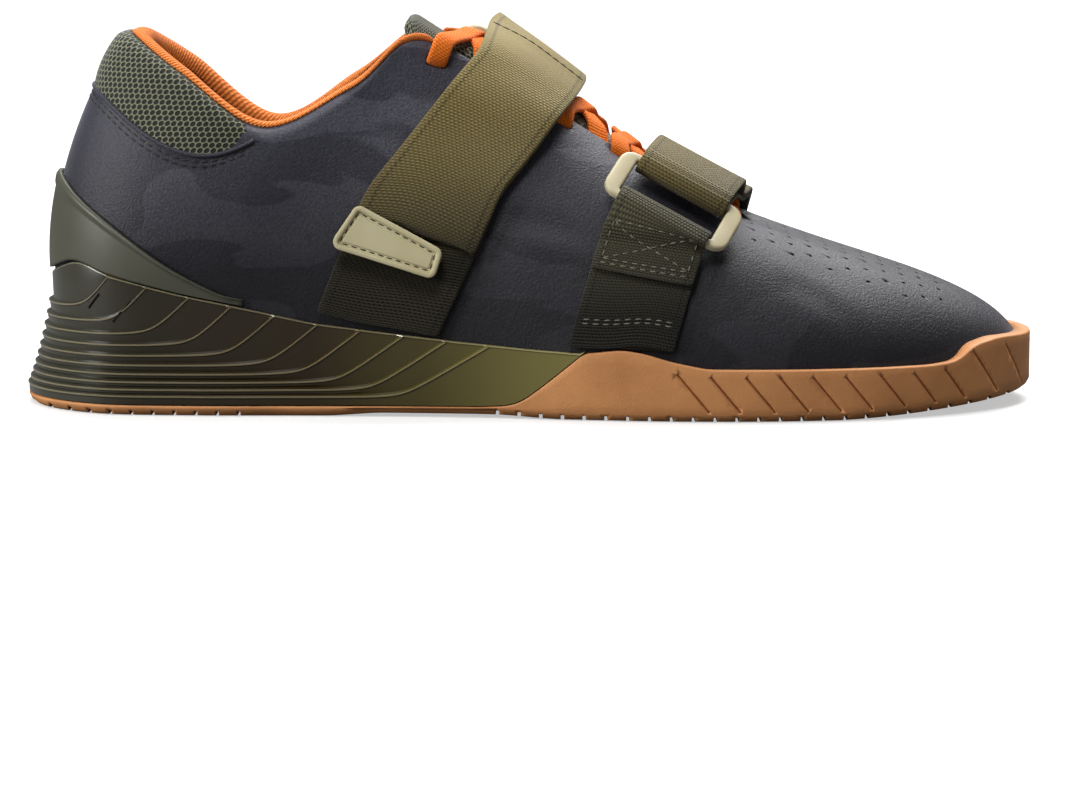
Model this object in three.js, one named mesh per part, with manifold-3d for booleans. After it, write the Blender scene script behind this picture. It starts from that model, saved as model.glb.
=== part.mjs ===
// Weightlifting shoe, right foot: hollow laced upper on a raised heel wedge and a rubber outsole,
// with a webbing strap over the instep and another over the forefoot.
// Millimetres. +X to the toe, +Z up, outer side at -Y, floor at Z = 0.

import * as THREE from 'three';
import { mergeVertices } from 'three/addons/utils/BufferGeometryUtils.js';
import Module from 'manifold-3d';

const wasm = await Module();
wasm.setup();

// Driving dimensions of the whole shoe
const length = 302;
const ballWidth = 104;
const collarHeight = 111;
const clearance = 0.3;

// Sole
const ballStack = 9;
const heelLift = 19.5;
const toeSpring = 4.2;
const archRaise = 0.9;
const soleEdge = 3.4;
const cupWall = 2.4;
const rimPeak = 44;
const sideFlare = 5.6;
const backFlare = 7.4;
const ribCount = 10;
const ribTop = 30.4;
const ribPitch = 3.6;
const ribTighten = 0.1;
const ribGroove = 0.35;
const gumThickness = 3.2;
const lugWidth = 1.2;
const lugDepth = 1.4;
const lugPitch = 12.6;
const sipeWidth = 1.1;
const sipeDepth = 0.9;
const sipePitch = 9.7;
const sipeCount = 10;
const sipeLean = 40;
const sipeStart = 0.165;
const treadBack = -0.42;
const treadFront = 0.44;
const archBack = -0.28;
const archFront = -0.05;

// Upper, tongue and insole
const upperWall = 2.2;
const collarPad = 8;
const collarStart = 8.2;
const collarFull = 9.4;
const counterWall = 1.2;
const pipingWall = 1.2;
const pipingColumns = 14;
const tongueThickness = 4.5;
const tongueReach = 14;
const tongueTurn = 7;
const tongueEnd = 8.6;
const tongueStart = 0.9;
const flatFrom = 5.6;
const flatTo = 7.2;
const insoleThickness = 4;

// Lacing
const laceWidth = 6;
const laceThickness = 1.3;
const laceRise = 0.6;
const eyeletLength = 6.5;
const eyeletWidth = 2.6;
const eyeletShare = 0.93;

// Straps and rings
const webbing = 1.5;
const strapEase = 0.5;
const instepLean = 25;
const forefootLean = 12;
const instepWidth = 31.5;
const forefootWidth = 29;
const forefootSkew = 0.002;
const ringBar = 2.4;
const ringEnd = 5;
const ringGap = 16;
const foldSpace = 0.9;
const badgeThickness = 2;
const badgeLength = 33;
const badgeHeight = 13;
const badgeTilt = -0.36;

// Reaches round the foot, 0 to 3: the rings' near bars and the webbing's ends
const instepRingReach = 2.02;
const instepStrapEnd = 0.36;
const instepAnchorEnd = 2.7;
const forefootRingReach = 0.745;
const forefootStrapEnd = 2.55;
const forefootAnchorEnd = 0.34;

// Stations round the shoe, from the toe along the outer side to the heel and back along the inner
// side. Sole and top X are shares of the length from the heel, Y of half the ball width, top Z of
// the collar height. Handles: up and reach are shares of the station's rise and of its run from
// top to bottom, the two out columns are shares of half the ball width.
const stationColumns = [
  'soleX', 'soleY', 'topX', 'topY', 'topZ', 'lowUp', 'lowOut', 'reach', 'highOut', 'drop',
];
const stationRows = [
  [1.000, 0.06, 0.722, 0.10, 0.480, 0.43, -0.02, 0.62, 0.00, 0.34],
  [0.984, -0.28, 0.720, 0.01, 0.482, 0.43, -0.01, 0.61, 0.00, 0.33],
  [0.934, -0.60, 0.709, -0.07, 0.495, 0.43, 0.00, 0.57, 0.00, 0.27],
  [0.851, -0.86, 0.679, -0.135, 0.535, 0.42, 0.02, 0.50, 0.00, 0.23],
  [0.755, -0.985, 0.629, -0.18, 0.612, 0.42, 0.03, 0.45, 0.00, 0.19],
  [0.652, -1.00, 0.563, -0.22, 0.725, 0.42, 0.03, 0.42, 0.00, 0.18],
  [0.550, -0.93, 0.487, -0.26, 0.852, 0.42, 0.03, 0.38, 0.00, 0.20],
  [0.454, -0.83, 0.420, -0.33, 0.950, 0.40, 0.03, 0.32, 0.01, 0.24],
  [0.361, -0.78, 0.377, -0.41, 0.962, 0.38, 0.03, 0.25, 0.03, 0.28],
  [0.268, -0.765, 0.325, -0.52, 0.830, 0.36, 0.04, 0.20, 0.05, 0.30],
  [0.175, -0.76, 0.240, -0.605, 0.727, 0.36, 0.05, 0.20, 0.06, 0.32],
  [0.083, -0.69, 0.157, -0.50, 0.868, 0.34, 0.07, 0.30, 0.06, 0.32],
  [0.021, -0.40, 0.106, -0.285, 0.962, 0.34, 0.09, 0.55, 0.04, 0.30],
  [0.000, 0.00, 0.095, 0.00, 0.975, 0.34, 0.11, 0.70, 0.02, 0.30],
  [0.021, 0.40, 0.106, 0.285, 0.962, 0.34, 0.09, 0.55, 0.04, 0.30],
  [0.083, 0.68, 0.157, 0.50, 0.874, 0.34, 0.07, 0.30, 0.06, 0.32],
  [0.175, 0.73, 0.240, 0.60, 0.715, 0.36, 0.05, 0.20, 0.06, 0.32],
  [0.268, 0.69, 0.325, 0.53, 0.838, 0.36, 0.04, 0.20, 0.05, 0.30],
  [0.361, 0.645, 0.380, 0.44, 0.962, 0.38, 0.03, 0.25, 0.03, 0.28],
  [0.454, 0.665, 0.424, 0.375, 0.950, 0.40, 0.03, 0.32, 0.01, 0.24],
  [0.550, 0.79, 0.490, 0.345, 0.855, 0.42, 0.03, 0.38, 0.00, 0.20],
  [0.652, 0.94, 0.566, 0.335, 0.730, 0.42, 0.03, 0.42, 0.00, 0.18],
  [0.755, 1.00, 0.632, 0.325, 0.615, 0.42, 0.03, 0.45, 0.00, 0.19],
  [0.851, 0.93, 0.682, 0.31, 0.540, 0.42, 0.02, 0.50, 0.00, 0.23],
  [0.937, 0.70, 0.712, 0.25, 0.497, 0.43, 0.00, 0.57, 0.00, 0.27],
  [0.988, 0.385, 0.721, 0.18, 0.482, 0.43, -0.01, 0.61, 0.00, 0.33],
];
const halfCount = stationRows.length / 2;

// Height of the sole's rim: share of the length from the heel, share of the rim's peak
const rimRows = [
  [0.020, 0.857], [0.037, 0.945], [0.056, 1.000], [0.070, 0.977], [0.085, 0.930], [0.120, 0.868],
  [0.162, 0.798], [0.200, 0.748], [0.290, 0.618], [0.354, 0.564], [0.430, 0.507], [0.500, 0.468],
  [0.553, 0.446], [0.588, 0.475], [0.610, 0.452], [0.638, 0.396], [0.670, 0.352], [0.760, 0.348],
  [0.890, 0.346], [0.915, 0.362], [0.933, 0.459], [0.960, 0.493], [1.000, 0.477],
];

// The counter's upper edge in side view: share of the length, share of the collar height
const counterRows = [
  [0.000, 0.655], [0.035, 0.640], [0.046, 0.603], [0.060, 0.566], [0.080, 0.527], [0.101, 0.485],
  [0.140, 0.407], [0.166, 0.365], [0.188, 0.335], [0.212, 0.306],
];

const half = ballWidth / 2;

function mix(a, b, f) {
  return a + (b - a) * f;
}

function ease(value, start, end) {
  const f = Math.min(1, Math.max(0, (value - start) / (end - start)));
  return f * f * (3 - 2 * f);
}

function softRamp(distance, softness) {
  return 0.5 * (distance + Math.sqrt(distance * distance + softness * softness));
}

function curveThrough(a, b, c, d, f) {
  return b + 0.5 * f * (c - a + f * (2 * a - 5 * b + 4 * c - d + f * (3 * (b - c) + d - a)));
}

// A value of the station table, smooth and closed round the shoe
function around(column, s) {
  const index = stationColumns.indexOf(column);
  const count = stationRows.length;
  const first = Math.floor(s);
  const row = (step) => stationRows[(first + step + 2 * count) % count][index];
  return curveThrough(row(-1), row(0), row(1), row(2), s - first);
}

// A height table read in straight steps
function along(rows, x) {
  const share = x / length + 0.5;
  const next = rows.findIndex((row) => row[0] > share);
  if (next === 0) return rows[0][1];
  if (next < 0) return rows[rows.length - 1][1];
  const [a, b] = [rows[next - 1], rows[next]];
  return mix(a[1], b[1], (share - a[0]) / (b[0] - a[0]));
}

function rimHeight(x) {
  return rimPeak * along(rimRows, x);
}

function toeRise(share) {
  return toeSpring * Math.max(0, (share - 0.8) / 0.2) ** 1.4;
}

function springHeight(x) {
  const share = x / length + 0.5;
  const arch = ease(share, 0.3, 0.36) * (1 - ease(share, 0.46, 0.53));
  return toeRise(share) + archRaise * arch;
}

function footbedHeight(x) {
  const share = x / length + 0.5;
  return ballStack + heelLift * (1 - ease(share, 0.15, 0.62)) + toeRise(share);
}

// The sole's outline at its widest level, moved inwards by inset
function soleEdgeAt(s, inset = 0) {
  const step = 0.01;
  const at = (value) => new THREE.Vector2(
    (around('soleX', value) - 0.5) * length,
    around('soleY', value) * half,
  );
  const tangent = at(s + step).sub(at(s - step)).normalize();
  const out = new THREE.Vector2(-tangent.y, tangent.x);
  const place = at(s).addScaledVector(out, -inset);
  return { x: place.x, y: place.y, outX: out.x, outY: out.y };
}

// Each rib runs level from the heel and then sweeps up to the rim
function ribCrossing(k) {
  return length * (0.088 + 0.0415 * k - 0.5);
}

function ribHeight(k, x) {
  const level = ribTop - ribPitch * k + ribTighten * k * k;
  const slope = 1.15 - 0.06 * k;
  const turn = ribCrossing(k) - (rimHeight(ribCrossing(k)) - level) / slope;
  return level + slope * softRamp(x - turn, 5);
}

function flareAt(edge) {
  return sideFlare + (backFlare - sideFlare) * Math.max(0, -edge.outX) ** 2;
}

function ribsPassed(x) {
  return Math.min(ribCount, Math.max(0, (x - ribCrossing(0)) / (ribCrossing(1) - ribCrossing(0))));
}

// Top of the rubber: thin under the heel, rising to the rim in front of the arch
function gumHeight(x) {
  return gumThickness + 0.85 * softRamp(x + length * 0.012, 4);
}

// Outer skin of the upper: one cubic curve for each station, from the feather edge up
function skin(s, t) {
  const edge = soleEdgeAt(s);
  const inset = cupWall + flareAt(edge) * (1 - ribsPassed(edge.x) / ribCount);
  const foot = soleEdgeAt(s, inset);
  const out = new THREE.Vector3(foot.outX, foot.outY, 0);
  const bottom = new THREE.Vector3(foot.x, foot.y, footbedHeight(foot.x) + clearance);
  const top = new THREE.Vector3(
    around('topX', s) * length - length / 2,
    around('topY', s) * half,
    around('topZ', s) * collarHeight,
  );
  const rise = top.z - bottom.z;
  const low = bottom.clone().addScaledVector(out, around('lowOut', s) * half);
  low.z += around('lowUp', s) * rise;
  const high = top.clone().lerp(bottom, around('reach', s)).addScaledVector(out, around('highOut', s) * half);
  high.z = top.z - around('drop', s) * rise;
  return new THREE.CubicBezierCurve3(bottom, low, high, top).getPoint(t);
}

// The whole foot form as one sheet. Place p runs from the toe (0) to the heel (halfCount). Reach q
// runs up the outer side (0 to 1), over the throat (1 to 2) and down the inner side (2 to 3).
function body(p, q) {
  if (q <= 1) return skin(p, q);
  if (q >= 2) return skin(stationRows.length - p, 3 - q);
  const left = skin(p, 1);
  const right = skin(stationRows.length - p, 1);
  const reach = mix(0.42, 0.1, ease(p, flatFrom, flatTo)) * left.distanceTo(right);
  const leave = left.clone().sub(skin(p, 0.97)).setLength(reach);
  const enter = right.clone().sub(skin(stationRows.length - p, 0.97)).setLength(reach);
  leave.add(left);
  enter.add(right);
  return new THREE.CubicBezierCurve3(left, leave, enter, right).getPoint(q - 1);
}

function bodyNormal(p, q) {
  const step = 0.02;
  const alongP = body(p + step, q).sub(body(p - step, q));
  const alongQ = body(p, Math.min(3, q + step)).sub(body(p, Math.max(0, q - step)));
  return alongQ.cross(alongP).normalize();
}

function bodyAt(p, q, offset) {
  return body(p, q).addScaledVector(bodyNormal(p, q), offset);
}

function skinNormal(s, t) {
  const step = 0.02;
  const alongS = skin(s + step, t).sub(skin(s - step, t));
  const alongT = skin(s, Math.min(1, t + step)).sub(skin(s, Math.max(0, t - step)));
  return alongT.cross(alongS).normalize();
}

// Triangles of a grid of points, rows x columns, closed round where asked
function gridFaces(rows, columns, start, closed, faces, flip = false) {
  const span = closed ? columns : columns - 1;
  for (let i = 0; i < rows - 1; i += 1) {
    for (let j = 0; j < span; j += 1) {
      const a = start + i * columns + j;
      const b = start + i * columns + (j + 1) % columns;
      const c = b + columns;
      const d = a + columns;
      if (flip) faces.push(a, c, b, a, d, c);
      else faces.push(a, b, c, a, c, d);
    }
  }
}

function geometryOf(points, faces) {
  const geometry = new THREE.BufferGeometry();
  const places = points.flatMap((point) => point.toArray());
  geometry.setAttribute('position', new THREE.Float32BufferAttribute(places, 3));
  geometry.setIndex(faces);
  const merged = mergeVertices(geometry, 1e-3);
  const kept = [];
  const index = merged.index.array;
  for (let i = 0; i < index.length; i += 3) {
    const [a, b, c] = [index[i], index[i + 1], index[i + 2]];
    if (a !== b && b !== c && c !== a) kept.push(a, b, c);
  }
  merged.setIndex(kept);
  return merged;
}

function solidOf(geometry) {
  const clean = geometry.clone();
  clean.deleteAttribute('normal');
  clean.deleteAttribute('uv');
  const merged = mergeVertices(clean, 1e-3);
  return new wasm.Manifold(new wasm.Mesh({
    numProp: 3,
    vertProperties: new Float32Array(merged.attributes.position.array),
    triVerts: new Uint32Array(merged.index.array),
  }));
}

function geometryFrom(solid) {
  const mesh = solid.getMesh();
  const geometry = new THREE.BufferGeometry();
  geometry.setAttribute('position', new THREE.BufferAttribute(new Float32Array(mesh.vertProperties), 3));
  geometry.setIndex(new THREE.BufferAttribute(new Uint32Array(mesh.triVerts), 1));
  return geometry;
}

// A closed form from rings stacked bottom to top, with both ends closed across the shoe
function stackedForm(rings, topAcross = 1, topPoint = null) {
  const count = rings[0].length;
  const points = rings.flat();
  const faces = [];
  gridFaces(rings.length, count, 0, true, faces, true);
  const opposite = (i) => (count - i) % count;
  for (let i = 0; i < count / 2; i += 1) {
    faces.push(i, i + 1, opposite(i + 1), i, opposite(i + 1), opposite(i));
  }
  const top = (rings.length - 1) * count;
  if (topPoint) {
    const rowStart = points.length;
    for (let i = 0; i <= count / 2; i += 1) {
      for (let j = 0; j <= topAcross; j += 1) {
        if (j === 0 || i === 0 || i === count / 2) points.push(points[top + i]);
        else if (j === topAcross) points.push(points[top + opposite(i)]);
        else points.push(topPoint(i, j / topAcross));
      }
    }
    gridFaces(count / 2 + 1, topAcross + 1, rowStart, false, faces);
  } else {
    for (let i = 0; i < count / 2; i += 1) {
      const [near, next] = [top + opposite(i), top + opposite(i + 1)];
      faces.push(top + i, next, top + i + 1, top + i, near, next);
    }
  }
  return geometryOf(points, faces);
}

// The foot form grown by an offset, closed over the throat and collar and flat underneath
const aroundCount = 66;
const stationStep = stationRows.length / aroundCount;

function bodyForm(offset) {
  const levels = 8;
  const rings = [];
  for (let level = 0; level <= levels; level += 1) {
    const ring = [];
    for (let i = 0; i < aroundCount; i += 1) {
      const s = i * stationStep;
      const t = level / levels;
      const point = skin(s, t).addScaledVector(skinNormal(s, t), offset);
      if (level === 0) point.z = skin(s, 0).z - offset;
      ring.push(point);
    }
    rings.push(ring);
  }
  const inside = (s) => Math.min(halfCount - 0.05, Math.max(0.05, s));
  const over = (i, v) => bodyAt(inside(i * stationStep), 1 + v, offset);
  return stackedForm(rings, 6, over);
}

// The sole before it is divided: rows from the floor up the side to the rim
function soleForm() {
  const rings = [];
  const ringOf = (place) => {
    const ring = [];
    for (let i = 0; i < aroundCount; i += 1) {
      const s = i * stationStep;
      const edge = soleEdgeAt(s);
      const [inset, z] = place(edge);
      const point = soleEdgeAt(s, inset);
      ring.push(new THREE.Vector3(point.x, point.y, z));
    }
    return ring;
  };
  const leftShare = (edge) => 1 - ribsPassed(edge.x) / ribCount;
  const rimOf = (edge) => rimHeight(edge.x - edge.outX * flareAt(edge) * leftShare(edge));
  const rimInset = (edge) => flareAt(edge) * (1 - Math.floor(ribsPassed(edge.x)) / ribCount);
  const belowRibs = (edge, z) => Math.min(z, ribHeight(ribCount - 1, edge.x) - 0.4);
  rings.push(ringOf((edge) => [soleEdge, springHeight(edge.x)]));
  rings.push(ringOf((edge) => [soleEdge * 0.3, springHeight(edge.x) + soleEdge * 0.35]));
  rings.push(ringOf((edge) => [0, springHeight(edge.x) + gumThickness]));
  rings.push(ringOf((edge) => [0, belowRibs(edge, mix(gumThickness, rimOf(edge), 0.6))]));
  for (let k = ribCount - 1; k >= 0; k -= 1) {
    const ledge = (share, lift, groove) => (edge) => {
      const z = ribHeight(k, edge.x) + lift;
      if (z > rimOf(edge) - 0.5) return [rimInset(edge), rimOf(edge)];
      return [flareAt(edge) * (1 - share / ribCount) + groove, z];
    };
    rings.push(ringOf(ledge(k + 1, 0, 0)));
    rings.push(ringOf(ledge(k, 0.35, ribGroove)));
  }
  rings.push(ringOf((edge) => [rimInset(edge), rimOf(edge)]));
  rings.push(ringOf((edge) => [flareAt(edge) * leftShare(edge) + cupWall + 2, rimOf(edge)]));
  return stackedForm(rings);
}

// A side-view outline pushed through the whole width of the shoe
function sidePrism(corners, depth = 2 * ballWidth) {
  const shape = new THREE.Shape(corners.map(([x, z]) => new THREE.Vector2(x, z)));
  const geometry = new THREE.ExtrudeGeometry(shape, { depth, bevelEnabled: false });
  geometry.rotateX(Math.PI / 2);
  geometry.translate(0, depth / 2, 0);
  return geometry;
}

function stepsBetween(start, end, count) {
  return Array.from({ length: count + 1 }, (_, i) => mix(start, end, i / count));
}

function underGum(lift) {
  const line = stepsBetween(-length * 0.05, length * 0.08, 12).map((x) => [x, gumHeight(x) + lift]);
  const back = [[-length, -length], [-length, gumThickness + lift]];
  const front = [[length, 2 * rimPeak], [length, -length]];
  const climb = [line[line.length - 1][0] + rimPeak, line[line.length - 1][1] + rimPeak];
  return solidOf(sidePrism([...back, ...line, climb, ...front]));
}

function boxAt(sizeX, sizeY, sizeZ, x, y, z, turnY = 0, turnZ = 0) {
  const geometry = new THREE.BoxGeometry(sizeX, sizeY, sizeZ);
  geometry.rotateY(turnY);
  geometry.rotateZ(turnZ);
  geometry.translate(x, y, z);
  return solidOf(geometry);
}

// Cross grooves between the lugs, and slanted sipes in the side wall of the forefoot
function treadCuts() {
  const cuts = [];
  for (let x = treadBack * length; x < treadFront * length; x += lugPitch) {
    const flat = x < archBack * length || x > archFront * length;
    const high = 2 * (springHeight(x) + lugDepth);
    if (flat) cuts.push(boxAt(lugWidth, 2 * ballWidth, high, x, 0, 0));
  }
  for (const side of [0, 1]) {
    for (let k = 0; k < sipeCount; k += 1) {
      const x = length * sipeStart + sipePitch * k;
      let s = 5;
      while (s > 1 && soleEdgeAt(s).x < x + 3) s -= 0.05;
      const edge = soleEdgeAt(side ? stationRows.length - s : s);
      const turn = Math.atan2(edge.outY, edge.outX);
      const low = springHeight(edge.x) + gumThickness + 0.6;
      const high = rimHeight(edge.x) - 2.4;
      const cut = boxAt(2 * sipeDepth, sipeWidth, (high - low) * 1.3, 0, 0, 0);
      cuts.push(cut.rotate([side ? -sipeLean : sipeLean, 0, THREE.MathUtils.radToDeg(turn)])
        .translate([edge.x, edge.y, (low + high) / 2]));
    }
  }
  return cuts;
}

function makeSole() {
  const cup = solidOf(bodyForm(clearance));
  const whole = solidOf(soleForm()).subtract(cup);
  let outsole = whole.intersect(underGum(0));
  for (const cut of treadCuts()) outsole = outsole.subtract(cut);
  const wedge = whole.subtract(underGum(clearance));
  return [outsole, wedge];
}

function collarShare(s) {
  const inner = stationRows.length - s;
  return ease(s, collarStart, collarFull) * ease(inner, collarStart, collarFull);
}

function wallAt(s, t) {
  return mix(upperWall, collarPad, collarShare(s) * ease(t, 0.5, 0.8));
}

// The upper: outer skin, rounded top edge, inner skin and feather edge in one closed wall
function makeUpper() {
  const levels = 6;
  const rings = [];
  const ringOf = (place) => {
    rings.push(Array.from({ length: aroundCount }, (_, i) => place(i * stationStep)));
  };
  const inner = (s, t) => {
    const point = skin(s, t).addScaledVector(skinNormal(s, t), -wallAt(s, t));
    if (t === 0) point.z = skin(s, 0).z;
    return point;
  };
  for (let level = 0; level <= levels; level += 1) ringOf((s) => skin(s, level / levels));
  for (const turn of [Math.PI / 4, Math.PI / 2, 3 * Math.PI / 4]) {
    ringOf((s) => {
      const outside = skin(s, 1);
      const middle = outside.clone().lerp(inner(s, 1), 0.5);
      const rise = outside.clone().sub(skin(s, 0.97)).setLength(wallAt(s, 1) / 2);
      return middle.clone().add(outside.sub(middle).multiplyScalar(Math.cos(turn)))
        .addScaledVector(rise, Math.sin(turn));
    });
  }
  for (const t of [1, 0.8, 0.5, 0.25, 0.1, 0]) ringOf((s) => inner(s, t));
  rings.push(rings[0]);
  const points = rings.flat();
  const faces = [];
  gridFaces(rings.length, aroundCount, 0, true, faces, true);
  let solid = solidOf(geometryOf(points, faces));
  for (const cut of eyeletCuts()) solid = solid.subtract(cut);
  return solid;
}

function frameAt(p, q, offset) {
  const place = bodyAt(p, q, offset);
  const out = bodyNormal(p, q);
  const back = body(p + 0.05, q).sub(body(p - 0.05, q));
  back.addScaledVector(out, -back.dot(out)).normalize();
  const across = out.clone().cross(back);
  return new THREE.Matrix4().makeBasis(back, across, out).setPosition(place);
}

// Eyelets by station, from the toe up: slots as long as the lace is wide
const eyeletPlaces = [2.9, 3.45, 4.1, 4.77, 5.5, 6.35, 7.25];

function eyeletCuts() {
  return eyeletPlaces.flatMap((p) => [eyeletShare, 3 - eyeletShare].map((q) => {
    const box = new THREE.BoxGeometry(eyeletLength, eyeletWidth, 4 * upperWall);
    box.applyMatrix4(frameAt(p, q, 0));
    return solidOf(box);
  }));
}

// A closed strip between an outer and an inner sheet of the same rows and columns
function stripOf(outer, inner) {
  const rows = outer.length;
  const columns = outer[0].length;
  const points = [...outer.flat(), ...inner.flat()];
  const faces = [];
  const under = rows * columns;
  gridFaces(rows, columns, 0, false, faces);
  gridFaces(rows, columns, under, false, faces, true);
  const wall = (a, b) => faces.push(a, under + a, under + b, a, under + b, b);
  for (let j = 0; j < columns - 1; j += 1) {
    wall(j, j + 1);
    wall((rows - 1) * columns + j + 1, (rows - 1) * columns + j);
  }
  for (let i = 0; i < rows - 1; i += 1) {
    wall((i + 1) * columns, i * columns);
    wall(i * columns + columns - 1, (i + 2) * columns - 1);
  }
  return rightSideOut(geometryOf(points, faces));
}

// Faces point out of the piece: the signed volume says whether they all need turning
function rightSideOut(geometry) {
  const place = geometry.attributes.position;
  const index = geometry.index.array;
  const corner = (i) => new THREE.Vector3().fromBufferAttribute(place, index[i]);
  let volume = 0;
  for (let i = 0; i < index.length; i += 3) volume += corner(i).dot(corner(i + 1).cross(corner(i + 2)));
  if (volume < 0) geometry.setIndex(Array.from(index).reverse());
  return geometry;
}

// Tongue: under the throat's edges at its sides, standing out between them
function makeTongue() {
  const sink = (q) => -(upperWall + 2 * clearance) * (1 - ease(1.5 - Math.abs(q - 1.5), 1.08, 1.3));
  const side = (p) => mix(0.16, -0.05, ease(p, 6.2, 7.2));
  const rise = new THREE.Vector3(-0.84, 0, 0.54);
  const pointAt = (p, q, depth) => {
    const point = bodyAt(Math.min(p, tongueTurn), q, sink(q) - depth - clearance);
    return point.addScaledVector(rise, Math.max(0, p - tongueTurn) / (tongueEnd - tongueTurn) * tongueReach);
  };
  const sheet = (depth) => stepsBetween(tongueStart, tongueEnd, 14).map((p) => (
    stepsBetween(1 - side(p), 2 + side(p), 6).map((q) => pointAt(p, q, depth))
  ));
  return stripOf(sheet(0), sheet(tongueThickness));
}

// Insole: on the footbed, clear of the upper's inside
function makeInsole() {
  const inset = upperWall + 2 * clearance;
  const rings = [0, insoleThickness].map((lift) => Array.from({ length: aroundCount }, (_, i) => {
    const s = i * stationStep;
    const point = skin(s, 0).addScaledVector(skinNormal(s, 0), -inset - lift * 0.15);
    point.z = footbedHeight(point.x) + clearance + lift;
    return point;
  }));
  return stackedForm(rings);
}

// Heel counter: a shell between two larger foot forms, cut to its side view above the rim
function makeCounter() {
  const shell = solidOf(bodyForm(clearance + counterWall)).subtract(solidOf(bodyForm(clearance)));
  const front = counterRows[counterRows.length - 1][0] * length - length / 2;
  const top = stepsBetween(-length / 2, front, 18).map((x) => [x, collarHeight * along(counterRows, x)]);
  const bottom = stepsBetween(front, -length / 2, 18).map((x) => [x, rimHeight(x) + 2 * clearance]);
  const outline = top.filter(([x, z]) => z > rimHeight(x) + 3 * clearance);
  const base = bottom.filter(([x]) => x <= outline[outline.length - 1][0]);
  outline.push(...base, [-length, base[base.length - 1][1]], [-length, top[0][1]]);
  return shell.intersect(solidOf(sidePrism(outline)));
}

// Binding over the collar's rounded edge, wide at the sides and rolled inwards at the back
function makePiping() {
  const reach = pipingColumns * stationStep;
  const line = stepsBetween(halfCount - reach, halfCount + reach, 2 * pipingColumns);
  const sheet = (depth) => line.map((s) => {
    const outside = skin(s, 1);
    const inside = outside.clone().addScaledVector(skinNormal(s, 1), -wallAt(s, 1));
    const middle = outside.clone().lerp(inside, 0.5);
    const sideways = outside.clone().sub(middle).normalize();
    const rise = outside.clone().sub(skin(s, 0.97)).normalize();
    const back = 1 - ease(Math.abs(s - halfCount), 0.5, 1.9);
    const radius = wallAt(s, 1) / 2 + clearance + depth;
    const front = ease(Math.abs(s - halfCount), 3.6, 4.6);
    return stepsBetween(mix(mix(62, 70, back), 45, front), mix(170, 110, front), 4).map((degrees) => {
      const turn = THREE.MathUtils.degToRad(degrees);
      return middle.clone().addScaledVector(sideways, radius * Math.cos(turn))
        .addScaledVector(rise, radius * Math.sin(turn));
    });
  });
  return stripOf(sheet(pipingWall), sheet(0));
}

// One run of flat lace between two places on the sheet
function laceBar(fromP, fromQ, toP, toQ, lift) {
  const line = stepsBetween(-0.04, 1.04, 7).map((f) => [mix(fromP, toP, f), mix(fromQ, toQ, f)]);
  const sheet = (offset) => line.map(([p, q], i) => {
    const [before, after] = [line[Math.max(0, i - 1)], line[Math.min(line.length - 1, i + 1)]];
    const out = bodyNormal(p, q);
    const side = body(...after).sub(body(...before)).cross(out).setLength(laceWidth / 2);
    const middle = bodyAt(p, q, lift + offset + laceRise * ease(p, flatFrom, flatTo - 0.6));
    return [middle.clone().sub(side), middle.clone().add(side)];
  });
  return solidOf(stripOf(sheet(laceThickness), sheet(0)));
}

function makeLaces() {
  const [left, right] = [eyeletShare, 3 - eyeletShare];
  const lift = 2 * clearance;
  let laces = laceBar(eyeletPlaces[0], left, eyeletPlaces[0], right, lift);
  for (let i = 1; i < eyeletPlaces.length; i += 1) {
    laces = laces.add(laceBar(eyeletPlaces[i - 1], left, eyeletPlaces[i], right, lift));
    laces = laces.add(laceBar(eyeletPlaces[i - 1], right, eyeletPlaces[i], left, lift + laceThickness / 2));
  }
  return laces;
}

// Webbing: a strap lies between two planes square to its direction, each a level along it
const instepWay = new THREE.Vector3(0.778, 0, -0.628);
const instepMiddle = -length * 0.206;
const forefootWay = new THREE.Vector3(0.912, -0.196, -0.363);
const forefootMiddle = length * 0.07;
const laceLift = 4 * clearance + 1.5 * laceThickness;
const foldRadius = (ringBar + webbing) / 2 + foldSpace;
const firstLayer = clearance + strapEase + webbing / 2;
const secondLayer = firstLayer + webbing + clearance;
const barOffset = firstLayer + foldRadius + 2 * strapEase;

function placeOn(way, level, q) {
  let [near, far] = [0.6, 11.5];
  for (let i = 0; i < 30; i += 1) {
    const middle = (near + far) / 2;
    if (body(middle, q).dot(way) > level) near = middle;
    else far = middle;
  }
  return (near + far) / 2;
}

// A strap's height over the laces
function liftAt(q) {
  return laceLift * ease(1.5 - Math.abs(q - 1.5), 0.66, 0.84);
}

// Reach just above the sole's rim, on the outer (0) or inner (1) side
function reachAtRim(way, level, side) {
  let q = 0.02;
  const at = (reach) => (side ? 3 - reach : reach);
  const clear = (reach) => {
    const point = bodyAt(placeOn(way, level, at(reach)), at(reach), secondLayer);
    return point.z > rimHeight(point.x) + webbing;
  };
  while (q < 0.6 && !clear(q)) q += 0.01;
  return at(q);
}

// Rows of a strap between two reaches: each point has its place and the way its face looks. The
// row next to a ring's bar is straight, as the bar is
function layerRows({ way, lean, levels, from, to, count, offset, face, bar, straight }) {
  const centre = (levels[0] + levels[levels.length - 1]) / 2;
  return stepsBetween(0, 1, count).map((f) => {
    const row = levels.map((level) => {
      const q = mix(from(level), to(level), f);
      const p = placeOn(way, level + lean * Math.max(0, 0.5 - q), q);
      return { place: bodyAt(p, q, offset(f) + liftAt(q)), look: bodyNormal(p, q).multiplyScalar(face) };
    });
    const middle = row.reduce((sum, { place }) => sum.add(place), new THREE.Vector3());
    middle.divideScalar(row.length);
    row.forEach((point, j) => {
      point.place.lerp(middle.clone().addScaledVector(bar, levels[j] - centre), straight(f));
      point.look.lerp(row[1].look, straight(f)).normalize();
    });
    return row;
  });
}

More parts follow.
